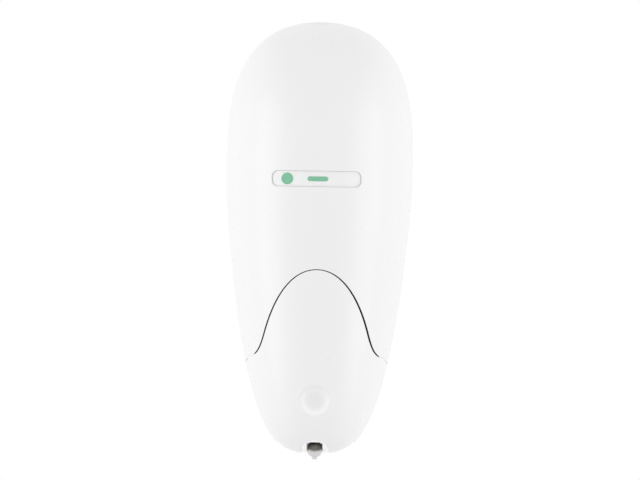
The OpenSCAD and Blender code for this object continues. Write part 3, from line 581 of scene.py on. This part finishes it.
def shell(name, edge, rear, upper, outer_rows, shape=None):
    """Closed shell of the body above or below an edge, with its outer and inner surface."""
    inner_rows = 60
    weld = 2e-6
    columns = column_steps(sides=upper)
    bm = bmesh.new()
    grids = []
    for inset, count in ((0.0, outer_rows), (SKIN, inner_rows)):
        at_edge = edge_level(columns, inset, rear, edge)
        start, end = (at_edge, 1) if upper else (first_level(rear, inset), at_edge)
        level = start + (end - start) * np.linspace(0, 1, count)[:, None]
        points = section(level, np.broadcast_to(columns, level.shape), inset, rear)
        if shape and inset == 0:
            points = shape(points)
        grid = [[bm.verts.new(p) for p in row] for row in points]
        grid_faces(bm, grid, flip=inset > 0)
        grids.append(grid)
    outer, inner = grids
    rim = 0 if upper else -1
    strip(bm, outer[rim], inner[rim], flip=upper)
    for end, flip in ((0, False), (-1, True)):
        bridge(bm, [row[end] for row in outer], [row[end] for row in inner], flip)
    bmesh.ops.remove_doubles(bm, verts=bm.verts, dist=weld)
    return new_object(name, bm)


def smooth_step(value, start, end):
    """Rises from 0 at the start to 1 at the end."""
    t = np.clip((value - start) / (end - start), 0, 1)
    return t * t * (3 - 2 * t)


def dimple(points):
    """Thumb dimple: a shallow bowl with a soft rim, round from the front and sunk square to the surface."""
    soft = 0.12 * MM
    rim_out, rim_w = 0.7 * MM, 0.9 * MM
    axis = outward(np.array(0.0), np.array(DIMPLE_Z))
    r = np.hypot(points[..., 0], points[..., 2] - DIMPLE_Z)
    bowl = DIMPLE_DEPTH * (1 - (r / DIMPLE_R) ** DIMPLE_FLAT)
    sink = (bowl + np.sqrt(bowl ** 2 + soft ** 2)) / 2
    sink -= DIMPLE_RIM * np.exp(-((r - DIMPLE_R - rim_out) / rim_w) ** 2)
    sink = np.where((r < 2 * DIMPLE_R) & (points[..., 1] < -BAY_FRONT), sink, 0)
    return points - sink[..., None] * axis


def lever_shape(points):
    """The dimple, and the upper side edges drawn in so that they pass behind the cover's side lips."""
    run_in, full_at, none_at = 6 * MM, 0.2 * MM, 2.2 * MM
    y, z = points[..., 1], points[..., 2]
    low = lip_low(-y)
    share = smooth_step(y, -PIVOT_Y, -PIVOT_Y + run_in) * smooth_step(z, low - none_at, low - full_at)
    moved = points.copy()
    moved[..., 0] -= np.sign(points[..., 0]) * (LIP_T + LIP_PLAY) * share
    return dimple(moved)


def patch(name, w, h, corner, middle, outer, inner, x=0.0, soft=0.0):
    """Closed thin piece that follows the body's surface inside a rounded rectangle, between two depths
    under the surface. Its outer face sinks by soft towards the rim."""
    soft_band = 0.5 * MM
    corner_rows, fewest_columns = 13, 16
    flat = h / 2 - corner
    turn = np.radians(np.linspace(0, 90, corner_rows))
    rise = flat + corner * np.sin(turn)
    level = np.linspace(-flat, flat, 2 + round(2 * flat / MM))
    z = np.concatenate([-rise[::-1], level[1:-1], rise])
    past_flat = np.maximum(np.abs(z) - flat, 0)
    reach = w / 2 - corner + np.sqrt(np.maximum(corner ** 2 - past_flat ** 2, 0))
    across = np.sin(np.radians(np.linspace(-90, 90, fewest_columns + round(w / MM))))
    gx, gz = np.broadcast_arrays(reach[:, None] * across, z[:, None])
    out_x, out_z = np.abs(gx) - w / 2 + corner, np.abs(gz) - flat
    round_part = np.hypot(np.maximum(out_x, 0), np.maximum(out_z, 0))
    inside = corner - round_part - np.minimum(np.maximum(out_x, out_z), 0)
    outer = outer + soft * np.clip(1 - inside / soft_band, 0, 1) ** 2
    gx, gz = x + gx, middle + gz
    bm = bmesh.new()
    slab(bm, *[vertex_grid(bm, gx, front(gx, gz, depth), gz) for depth in (outer, inner)])
    return new_object(name, bm)


def arch_outline(w, h):
    """Notch outline: a squashed round top on straight sides that run far down."""
    rise = w / 2 * NOTCH_SQUASH
    foot = -20 * MM
    top = arc((0, h - rise), (w / 2, rise), start=0, end=180, count=49)
    return [(w / 2, foot)] + top + [(-w / 2, foot)]


# ---------------------------------------------------------------- materials


class Nodes:
    """Adds joined shader nodes to a new material or world."""

    def __init__(self, owner):
        owner.use_nodes = True
        self.owner, self.tree = owner, owner.node_tree
        self.tree.nodes.clear()

    def add(self, kind, *inputs, **named):
        """New node with its settings and inputs by name, _ for a space, and further inputs in their order.
        None leaves an input as it is."""
        node = self.tree.nodes.new(kind)
        for name, value in named.items():
            label = name.replace("_", " ")
            if label in node.inputs:
                self.feed(node.inputs[label], value)
            else:
                setattr(node, name, value)
        for socket, value in zip(node.inputs, inputs):
            if value is not None:
                self.feed(socket, value)
        return node

    def feed(self, socket, value):
        """Links an output to the socket, or sets a plain value."""
        if isinstance(value, bpy.types.NodeSocket):
            self.tree.links.new(value, socket)
        else:
            socket.default_value = value


def new_material(name):
    """Nodes of a new material, and the object's own coordinates for its patterns."""
    n = Nodes(bpy.data.materials.new(name))
    return n, n.add("ShaderNodeTexCoord").outputs["Object"]


def finished(n, **inputs):
    """Ends a material with one Principled shader."""
    shader = n.add("ShaderNodeBsdfPrincipled", **inputs)
    n.add("ShaderNodeOutputMaterial", Surface=shader.outputs["BSDF"])
    return n.owner


def mixed(n, low, high, factor):
    """Mixes two colours, each a socket or three numbers."""
    factor_at, low_at, high_at, colour_at = 0, 6, 7, 2
    mix = n.add("ShaderNodeMix", data_type="RGBA")
    n.feed(mix.inputs[factor_at], factor)
    for place, colour in ((low_at, low), (high_at, high)):
        n.feed(mix.inputs[place], (*colour, 1) if isinstance(colour, tuple) else colour)
    return mix.outputs[colour_at]


def calculated(n, operation, *inputs):
    """Result of a math node."""
    return n.add("ShaderNodeMath", *inputs, operation=operation).outputs["Value"]


def noise(n, coords, scale, detail, roughness=0.5):
    """Noise from 0 to 1; scale is in features per metre."""
    node = n.add("ShaderNodeTexNoise", Vector=coords, Scale=scale, Detail=detail, Roughness=roughness)
    return node.outputs["Fac"]


def ranged(n, value, low, high, start=0.3, end=0.7):
    """Maps start...end to low...high and holds the ends."""
    node = n.add("ShaderNodeMapRange", Value=value, From_Min=start, From_Max=end, To_Min=low, To_Max=high)
    return node.outputs["Result"]


def bumped(n, value, distance, strength=1.0):
    """Normal of a surface that a value raises by a distance at most."""
    node = n.add("ShaderNodeBump", Height=value, Distance=distance, Strength=strength)
    return node.outputs["Normal"]


def distance_from(n, place):
    """Length of a vector."""
    return n.add("ShaderNodeVectorMath", place, operation="LENGTH").outputs["Value"]


def plastic(name, low, high, rough, grain=900, bump=0.004 * MM, specular=0.5, coat=0.0, painted_light=None):
    """Moulded plastic: faint cloudiness of the colour, uneven gloss and a fine skin."""
    n, coords = new_material(name)
    colour = mixed(n, low, high, noise(n, coords, scale=14, detail=2))
    # Optional painted light and shade laid over the colour.
    if painted_light:
        colour = painted_light(n, coords, colour)
    wear = noise(n, coords, scale=160, detail=5, roughness=0.6)
    skin = noise(n, coords, scale=grain, detail=2)
    return finished(n, Base_Color=colour, Roughness=ranged(n, wear, *rough), Normal=bumped(n, skin, bump),
                    IOR=1.5, Specular_IOR_Level=specular, Coat_Weight=coat, Coat_Roughness=0.05)


def dimple_painted_light(n, coords, colour):
    """Painted light in the dimple: a painted shade that dulls its middle, and a painted highlight along its
    sides and foot.
    """
    # Colours of the painted shade and the painted highlight on the lever's white.
    dimple_shade, dimple_highlight = (0.775, 0.775, 0.773), (0.875, 0.875, 0.873)
    place = n.add("ShaderNodeMapping", coords, vector_type="POINT",
                  Location=(0, 0, -(BOTTOM + DIMPLE_Z) / DIMPLE_R), Scale=(1 / DIMPLE_R, 0, 1 / DIMPLE_R))
    reach = distance_from(n, place.outputs["Vector"])
    up = n.add("ShaderNodeSeparateXYZ", place.outputs["Vector"]).outputs["Z"]
    # Masks of the painted highlight (a ring along the sides and foot, none above) and of the painted shade
    # (the middle).
    inner = ranged(n, reach, 0.0, 1.0, start=0.5, end=0.78)
    outer = ranged(n, reach, 1.0, 0.0, start=0.86, end=1.0)
    not_above = ranged(n, up, 1.0, 0.0, start=0.1, end=0.8)
    ring = calculated(n, "MULTIPLY", calculated(n, "MULTIPLY", inner, outer), not_above)
    middle = ranged(n, reach, 1.0, 0.0, start=0.3, end=0.8)
    return mixed(n, mixed(n, colour, dimple_shade, middle), dimple_highlight, ring)


def metal(name, low, high, rough):
    """Plated or turned metal: fine streaks and uneven gloss."""
    n, coords = new_material(name)
    upright = n.add("ShaderNodeMapping", coords, Scale=(1.0, 1.0, 0.12)).outputs["Vector"]
    streak = noise(n, upright, scale=1800, detail=4, roughness=0.7)
    colour = mixed(n, low, high, noise(n, coords, scale=90, detail=3))
    return finished(n, Base_Color=colour, Metallic=1.0, Roughness=ranged(n, streak, *rough),
                    Normal=bumped(n, streak, 0.01 * MM, strength=0.5))


def rubber(name, low, high):
    """Matt dark rubber with a coarse skin."""
    return plastic(name, low, high, rough=(0.55, 0.75), grain=1400, bump=0.03 * MM, specular=0.35)


def silicone(name):
    """Milky silicone with painted shade: a dark rounded patch painted on the upper part, where the nozzle
    lies in the notch's shadow, with whitish walls below.
    """
    # The pale colour is the silicone's own; the dark one is the painted shade, with its place and size in the
    # object's coordinates.
    wall, nozzle_shade = (0.66, 0.64, 0.645), (0.19, 0.18, 0.16)
    shade_z, shade_half_w, shade_drop = 5.9 * MM, 6.0 * MM, 3.9 * MM
    cloudiness = 0.10
    n, coords = new_material(name)
    place = n.add("ShaderNodeMapping", coords, vector_type="POINT", Location=(0, -AXIS_Y, -BOTTOM - shade_z))
    share = n.add("ShaderNodeVectorMath", place.outputs["Vector"], (1 / shade_half_w, 0, 1 / shade_drop),
                  operation="MULTIPLY")
    split = n.add("ShaderNodeSeparateXYZ", share.outputs["Vector"])
    below = calculated(n, "MINIMUM", split.outputs["Z"], 0.0)
    reach = distance_from(n, n.add("ShaderNodeCombineXYZ", split.outputs["X"], None, below).outputs["Vector"])
    cloud = noise(n, coords, scale=700, detail=2)
    cloudy = calculated(n, "MULTIPLY_ADD", cloud, cloudiness, reach)
    # Mask of the painted shade: 1 inside the rounded patch, 0 on the lit walls below.
    shade_mask = ranged(n, cloudy, 1.0, 0.0, start=0.86, end=1.18)
    return finished(n, Base_Color=mixed(n, wall, nozzle_shade, shade_mask), IOR=1.41,
                    Roughness=ranged(n, noise(n, coords, scale=300, detail=3), low=0.22, high=0.38),
                    Normal=bumped(n, noise(n, coords, scale=900, detail=2), 0.015 * MM),
                    Subsurface_Weight=0.15, Subsurface_Radius=(1.2 * MM, 1.0 * MM, 0.9 * MM))


def milky(name, colour, transmission):
    """Translucent polyethylene of the bottle."""
    n, coords = new_material(name)
    shaded = tuple(0.97 * c for c in colour)
    return finished(n, Base_Color=mixed(n, shaded, colour, noise(n, coords, scale=40, detail=3)),
                    Roughness=ranged(n, noise(n, coords, scale=220, detail=4), low=0.32, high=0.46),
                    Normal=bumped(n, noise(n, coords, scale=260, detail=3), 0.03 * MM),
                    Transmission_Weight=transmission, IOR=1.45)


def clear(name):
    """Thin clear acrylic: its gloss over what lies behind it."""
    n, coords = new_material(name)
    return finished(n, Base_Color=(0.93, 0.94, 0.94, 1), Alpha=0.1, IOR=1.45,
                    Roughness=ranged(n, noise(n, coords, scale=160, detail=4), low=0.03, high=0.09),
                    Normal=bumped(n, noise(n, coords, scale=500, detail=2), 0.004 * MM))


def build_materials():
    """A material for each of the record's slots, and the green of the label's marks."""
    white = dict(low=(0.80, 0.80, 0.798), high=(0.822, 0.822, 0.82), rough=(0.27, 0.33))
    return {
        "white_cover": plastic("white_cover", **white),
        # The lever's white carries the dimple's painted shade and painted highlight.
        "white_lever": plastic("white_lever", **white, painted_light=dimple_painted_light),
        "bezel_white": plastic("bezel_white", (0.90, 0.90, 0.898), (0.93, 0.93, 0.928), rough=(0.08, 0.14),
                               coat=0.4),
        "inner_plastic": plastic("inner_plastic", (0.62, 0.63, 0.64), (0.68, 0.69, 0.70), rough=(0.34, 0.5),
                                 bump=0.03 * MM),
        "label_white": plastic("label_white", (0.83, 0.83, 0.83), (0.85, 0.85, 0.85), rough=(0.45, 0.6)),
        "label_green": plastic("label_green", (0.03, 0.40, 0.19), (0.045, 0.46, 0.225), rough=(0.4, 0.55)),
        "label_clear": clear("label_clear"),
        "steel": metal("steel", (0.56, 0.57, 0.59), (0.66, 0.67, 0.69), rough=(0.22, 0.42)),
        "lock_metal": metal("lock_metal", (0.66, 0.67, 0.68), (0.74, 0.75, 0.76), rough=(0.10, 0.24)),
        "bottle_plastic": milky("bottle_plastic", (0.90, 0.93, 0.92), transmission=0.55),
        "cap_plastic": plastic("cap_plastic", (0.76, 0.77, 0.78), (0.81, 0.82, 0.83), rough=(0.3, 0.42)),
        "pump_plastic": plastic("pump_plastic", (0.30, 0.29, 0.26), (0.36, 0.35, 0.32), rough=(0.32, 0.46)),
        "silicone": silicone("silicone"),
        "rubber_dark": rubber("rubber_dark", (0.018, 0.018, 0.018), (0.03, 0.03, 0.03)),
    }


def dress(obj, material):
    """Gives an object one material in each of its slots."""
    if not obj.data.materials:
        obj.data.materials.append(material)
    for s in obj.material_slots:
        s.material = material


# ---------------------------------------------------------------- pieces


def add(obj, body, slot, material, *nodes):
    """Gives a piece its material and its body, and hides the CAD nodes that it stands for. The slot is not
    used.
    """
    dress(obj, material)
    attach(obj, body)
    if nodes:
        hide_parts(*nodes)


def build_cover(materials):
    """Cover with the label's recess, and the lock's counterbore and bore in its top."""
    sleeve = 20 * MM
    cover = shell("cover_skin", cover_edge, COVER_REAR, upper=True, outer_rows=210)
    round_edges(cover)
    hold_back(cover, COVER_REAR, BODY_H)
    carve(cover, patch("cutter", LABEL_W, LABEL_H, LABEL_CORNER, LABEL_Z,
                       outer=-OVERRUN_LABEL, inner=LABEL_DEPTH, x=LABEL_X))
    carve(cover, lock_cutter(LOCK_HEAD_R + FIT, LOCK_TOP - LOCK_SINK, BODY_H + OVERRUN))
    carve(cover, lock_cutter(LOCK_BORE_R, LOCK_TOP - sleeve, BODY_H))
    finish_shell(cover)
    add(cover, "cover", "white_cover", materials["white_cover"], "cover_shell")


def build_side_lips(materials):
    """Thin strips that carry the cover's outer surface down over the lever's sloping side edges."""
    overlap, rear_gap, front_gap = 0.2 * MM, 0.5 * MM, 1.5 * MM
    columns, rows = 36, 14
    top = SEAM_BASE + overlap
    depth = np.linspace(LEVER_REAR + rear_gap, PIVOT_Y - front_gap, columns)
    z = top + (lip_low(depth) - top) * np.linspace(0, 1, rows)[:, None]
    outer, inner = (half_width(depth, z, inset) for inset in (0.0, LIP_T))
    bm = bmesh.new()
    for side in (-1, 1):
        slab(bm, vertex_grid(bm, side * outer, depth, z), vertex_grid(bm, side * inner, depth, z))
    lips = new_object("side_lips", bm)
    sharpen(lips)
    add(lips, "cover", "white_cover", materials["white_cover"])


def build_lock_trim(materials):
    """Ring that fills the lock's counterbore up to the body's surface round the key plug."""
    plug_play, under_surface, over_head = 0.15 * MM, 0.04 * MM, 0.05 * MM
    steps, rings = 72, 9
    turn = np.linspace(0, 2 * math.pi, steps + 1)[:-1]
    radii = np.linspace(LOCK_PLUG_R + plug_play, LOCK_HEAD_R, rings)[:, None]
    x, y = radii * np.cos(turn), -LOCK_Y + radii * np.sin(turn)
    collar = height_over(np.array(0.0), -LOCK_Y + radii[0])
    z = collar + (height_over(x, y) - under_surface - collar) * smooth_step(radii, radii[0], radii[-1])
    bm = bmesh.new()
    top = vertex_grid(bm, x, y, z)
    foot = vertex_grid(bm, x[[0, -1]], y[[0, -1]], LOCK_TOP + over_head)
    around = [foot[0], *top, foot[1], foot[0]]
    for a, b in zip(around, around[1:]):
        strip(bm, a, b, closed=True)
    trim = new_object("lock_trim", bm)
    sharpen(trim)
    add(trim, "cover", "white_cover", materials["white_cover"])


def build_lever(materials):
    """Lever with the notch for the nozzle and the bay for the hinge behind it."""
    lever = shell("lever_skin", lever_edge, LEVER_REAR, upper=False, outer_rows=230, shape=lever_shape)
    round_edges(lever)
    beyond, bay_top = 20 * MM, 30 * MM
    carve(lever, prism_cutter(arch_outline(NOTCH_W, NOTCH_H), -BODY_D - beyond, -COVER_REAR))
    carve(lever, box_cutter((-BAY_X, -BAY_FRONT, -2 * OVERRUN), (BAY_X, 2 * OVERRUN, bay_top)))
    finish_shell(lever)
    add(lever, "lever", "white_lever", materials["white_lever"], "push_lever")


def build_label(materials):
    """Label card, and the clear window over it."""
    window_gap, window_soft = 0.08 * MM, 0.15 * MM
    face = LABEL_DEPTH - CARD_T
    card = patch("label_sheet", LABEL_W - 2 * FIT, LABEL_H - 2 * FIT, LABEL_CORNER - FIT, LABEL_Z,
                 outer=face, inner=LABEL_DEPTH, x=LABEL_X)
    add(card, "cover", "label_white", materials["label_white"], "label_card")
    window = patch("label_lens", LABEL_W - 2 * WINDOW_PLAY, LABEL_H - 2 * WINDOW_PLAY,
                   LABEL_CORNER - WINDOW_PLAY, LABEL_Z,
                   outer=WINDOW_DROP, inner=face - window_gap, x=LABEL_X, soft=window_soft)
    add(window, "cover", "label_clear", materials["label_clear"], "label_window")


def build_marks(materials):
    """Plain dot and bar on the card, with fully round ends."""
    raised, sunk, off_round = 0.03 * MM, 0.05 * MM, 0.01 * MM
    face = LABEL_DEPTH - CARD_T
    for name, w, h, x in (("label_dot", DOT_W, DOT_W, DOT_X), ("label_bar", BAR_W, BAR_H, BAR_X)):
        mark = patch(name, w, h, h / 2 - off_round, LABEL_Z,
                     outer=face - raised, inner=face + sunk, x=LABEL_X + x)
        add(mark, "cover", "label_white", materials["label_green"])


def build_nozzle(materials):
    """Silicone nozzle: a nub, a full dome and a shoulder that narrows to the neck."""
    nub_r, neck_r, top = 1.6 * MM, 3.5 * MM, 12 * MM
    nub = [(0, -NOZZLE_DROP), (1.25 * MM, -NOZZLE_DROP), (1.5 * MM, -3.18 * MM), (nub_r, -2.9 * MM),
           (1.62 * MM, -1.9 * MM), (1.8 * MM, -1.66 * MM)]
    dome = arc((nub_r, 2.7 * MM), (3.4 * MM, 4.3 * MM), start=-78, end=0, count=14)
    shoulder = arc((neck_r, 5.5 * MM), (1.5 * MM, 1.5 * MM), start=0, end=90, count=10)
    neck = [(neck_r, top), (2.7 * MM, top), (2.65 * MM, top - 1 * MM)]
    teat = lathe("nozzle_skin", nub + dome + shoulder + neck, AXIS_Y, steps=72)
    add(teat, "base", "silicone", materials["silicone"], "nozzle_teat")


def bezel_lines():
    """Inner and outer line of the bezel in the front view: round the slot and round the arch."""
    points = 49
    t = np.linspace(0, math.pi, points)
    c, k = np.cos(t), np.sin(t)
    slot_half, arch_half = NOTCH_W / 2 - BEZEL_RIM, NOTCH_W / 2 - FIT
    slot_x = slot_half * np.sign(c) * np.abs(c) ** SLOT_SQUARE
    slot_z = NOTCH_H - BEZEL_TOP - SLOT_ROUND + SLOT_ROUND * np.abs(k) ** SLOT_SQUARE
    rise = arch_half * NOTCH_SQUASH
    return (slot_x, slot_z), (arch_half * c, NOTCH_H - FIT - rise + rise * k)


def bezel_surface(across):
    """Rows of points on the body's surface, one for each share of the way across the rim: in along
    the underside, round the notch in front and back again."""
    (xi, zi), (xo, zo) = bezel_lines()
    bay_gap, foot_points = 0.5 * MM, 11
    rear = BAY_FRONT + bay_gap
    feet = np.linspace(0, 1, foot_points + 1)[:-1]
    rows = []
    for b in across:
        x, z = xi + (xo - xi) * b, zi + (zo - zi) * b
        y = front(x, z)
        foot_x = np.full(feet.shape, x[0])
        foot_y = rear + (y[0] - rear) * feet
        right = np.stack([foot_x, foot_y, height_under(foot_x, foot_y)], axis=-1)
        left = right[::-1] * np.array([-1, 1, 1])
        rows.append(np.concatenate([right, np.stack([x, y, z], axis=-1), left]))
    return np.array(rows)


def build_bezel(materials):
    """Bright rim that lines the notch: two feet along the underside joined by an arch in front."""
    thickness, sunk_edge, slot_edge = 1.9 * MM, 0.1 * MM, 0.5 * MM
    crown, lines, crease = 2.6, 13, 55
    across = np.linspace(0, 1, lines)
    rows = bezel_surface(across)
    normals = outward(rows[..., 0], rows[..., 2])
    surface = rows * np.array([1, -1, 1])
    swell = BEZEL_SWELL * (1 - np.abs(2 * across - 1) ** crown) - sunk_edge
    swell[0] -= slot_edge
    bm = bmesh.new()
    outer = [[bm.verts.new(p) for p in row] for row in surface + swell[:, None, None] * normals]
    inner = [[bm.verts.new(p) for p in row] for row in surface[[0, -1]] - thickness * normals[[0, -1]]]
    grid_faces(bm, outer)
    grid_faces(bm, inner, flip=True)
    strip(bm, inner[0], outer[0])
    strip(bm, outer[-1], inner[1])
    for end in (0, -1):
        bm.faces.new([row[end] for row in outer] + [inner[1][end], inner[0][end]])
    bezel = new_object("bezel_ring", bm)
    sharpen(bezel, crease)
    add(bezel, "lever", "bezel_white", materials["bezel_white"], "spout_bezel")


def build_cover_pillars(materials):
    """Four pillars inside the cover, and the boss round the lock's sleeve."""
    lower, upper = (80 * MM, 38 * MM), (118 * MM, 45 * MM)
    pillar_y, pillar_r, pillar_in = -19 * MM, 4 * MM, 3.6 * MM
    boss_r, boss_low, boss_high = 12 * MM, 9.2 * MM, 3 * MM
    bore_low = 100 * MM
    bm = bmesh.new()
    for z, reach in (lower, upper):
        x = float(width_depth(z, SKIN)[0]) - pillar_in
        for side in (-1, 1):
            round_rod(bm, (side * x, pillar_y, z), (side * x, pillar_y - reach, z), pillar_r, inset=SKIN / 2)
    round_rod(bm, (0, LOCK_Y, LOCK_TOP - boss_low), (0, LOCK_Y, LOCK_TOP - boss_high), boss_r,
              steps=48, inset=SKIN / 2)
    pillars = new_object("cover_pillars", bm)
    sharpen(pillars)
    carve(pillars, lock_cutter(LOCK_BORE_R, bore_low, BODY_H))
    add(pillars, "cover", "white_cover", materials["white_cover"])


def build_dimple_backing(materials):
    """Disc inside the lever that backs the dimple."""
    radius, deep, shallow = 10 * MM, 4.8 * MM, 2.2 * MM
    middle = Vector((0, -float(front(0.0, DIMPLE_Z)), DIMPLE_Z))
    axis = Vector(outward(np.array(0.0), np.array(DIMPLE_Z)))
    bm = bmesh.new()
    round_rod(bm, middle - axis * deep, middle - axis * shallow, radius, steps=48)
    backing = new_object("dimple_backing", bm)
    sharpen(backing)
    add(backing, "lever", "white_lever", materials["white_lever"])


def dress_cad(materials):
    """Every node that stays as the CAD made it gets its slot's material."""
    for part in frame["record"]["subparts"]:
        dress(frame["nodes"][part["node"]], materials[part["material_slot"]])


# ---------------------------------------------------------------- stage, light, camera
# Lengths here are in metres, lamp powers in watts.


def build_world():
    """White for what the camera, mirrors and clear parts see, and a little less as light on the object."""
    light_level = 0.91
    n = Nodes(bpy.data.worlds.new("studio"))
    seen = n.add("ShaderNodeLightPath").outputs
    direct = calculated(n, "MAXIMUM", seen["Is Camera Ray"], seen["Is Transmission Ray"])
    shown = calculated(n, "MAXIMUM", direct, seen["Is Glossy Ray"])
    light = n.add("ShaderNodeBackground", Color=(1, 1, 1, 1), Strength=light_level)
    white = n.add("ShaderNodeBackground", Color=(1, 1, 1, 1))
    mix = n.add("ShaderNodeMixShader", shown, light.outputs[0], white.outputs[0])
    n.add("ShaderNodeOutputWorld", Surface=mix.outputs[0])
    bpy.context.scene.world = n.owner


def build_floor():
    """Plain pale floor, well under the object because that hangs on a wall."""
    half_size, height_below = 1.2, 0.7
    bm = bmesh.new()
    bmesh.ops.create_grid(bm, x_segments=24, y_segments=24, size=half_size)
    mesh = bpy.data.meshes.new("floor")
    bm.to_mesh(mesh)
    bm.free()
    floor = bpy.data.objects.new("floor", mesh)
    floor.location = (0, 0, -height_below)
    bpy.context.scene.collection.objects.link(floor)
    dress(floor, plastic("floor_paint", (0.86, 0.86, 0.86), (0.88, 0.88, 0.88), rough=(0.6, 0.7),
                         specular=0.2))


def build_lights():
    """Two large soft boxes beside the object, the left one a little stronger."""
    target = Vector((0, -0.05, 0))
    aside, before, up = 1.3, 0.5, 0.05
    for name, side, power in (("left_box", -1, 6.2), ("right_box", 1, 5.6)):
        lamp = bpy.data.lights.new(name, "AREA")
        lamp.shape = "RECTANGLE"
        lamp.size, lamp.size_y = 1.1, 1.9
        lamp.energy = power
        box = bpy.data.objects.new(name, lamp)
        box.location = (side * aside, -before, up)
        box.rotation_euler = (target - box.location).to_track_quat("-Z", "Y").to_euler()
        bpy.context.scene.collection.objects.link(box)


def build_camera():
    """Long lens straight at the front, turned a little to the right and rolled a little."""
    distance = 8.0
    view_w = 422.4 * MM
    yaw = math.radians(0.5)
    roll = math.radians(0.94)
    middle = Vector((1.0 * MM, -20 * MM, BOTTOM + 141 * MM))
    lens = bpy.data.cameras.new("camera")
    lens.sensor_width = 36.0
    lens.lens = lens.sensor_width * distance / view_w
    lens.clip_start = 0.01
    lens.clip_end = 50
    camera = bpy.data.objects.new("camera", lens)
    place = middle + Vector((math.sin(yaw), -math.cos(yaw), 0)) * distance
    look = (middle - place).to_track_quat("-Z", "Y").to_matrix().to_4x4()
    camera.matrix_world = Matrix.Translation(place) @ look @ Matrix.Rotation(roll, 4, "Z")
    bpy.context.scene.collection.objects.link(camera)
    bpy.context.scene.camera = camera


materials = build_materials()
dress_cad(materials)
for build in (build_cover, build_side_lips, build_lock_trim, build_lever, build_label, build_marks,
              build_nozzle, build_bezel, build_cover_pillars, build_dimple_backing):
    build(materials)
build_world()
build_floor()
build_lights()
build_camera()

bpy.context.scene.view_settings.view_transform = "Standard"
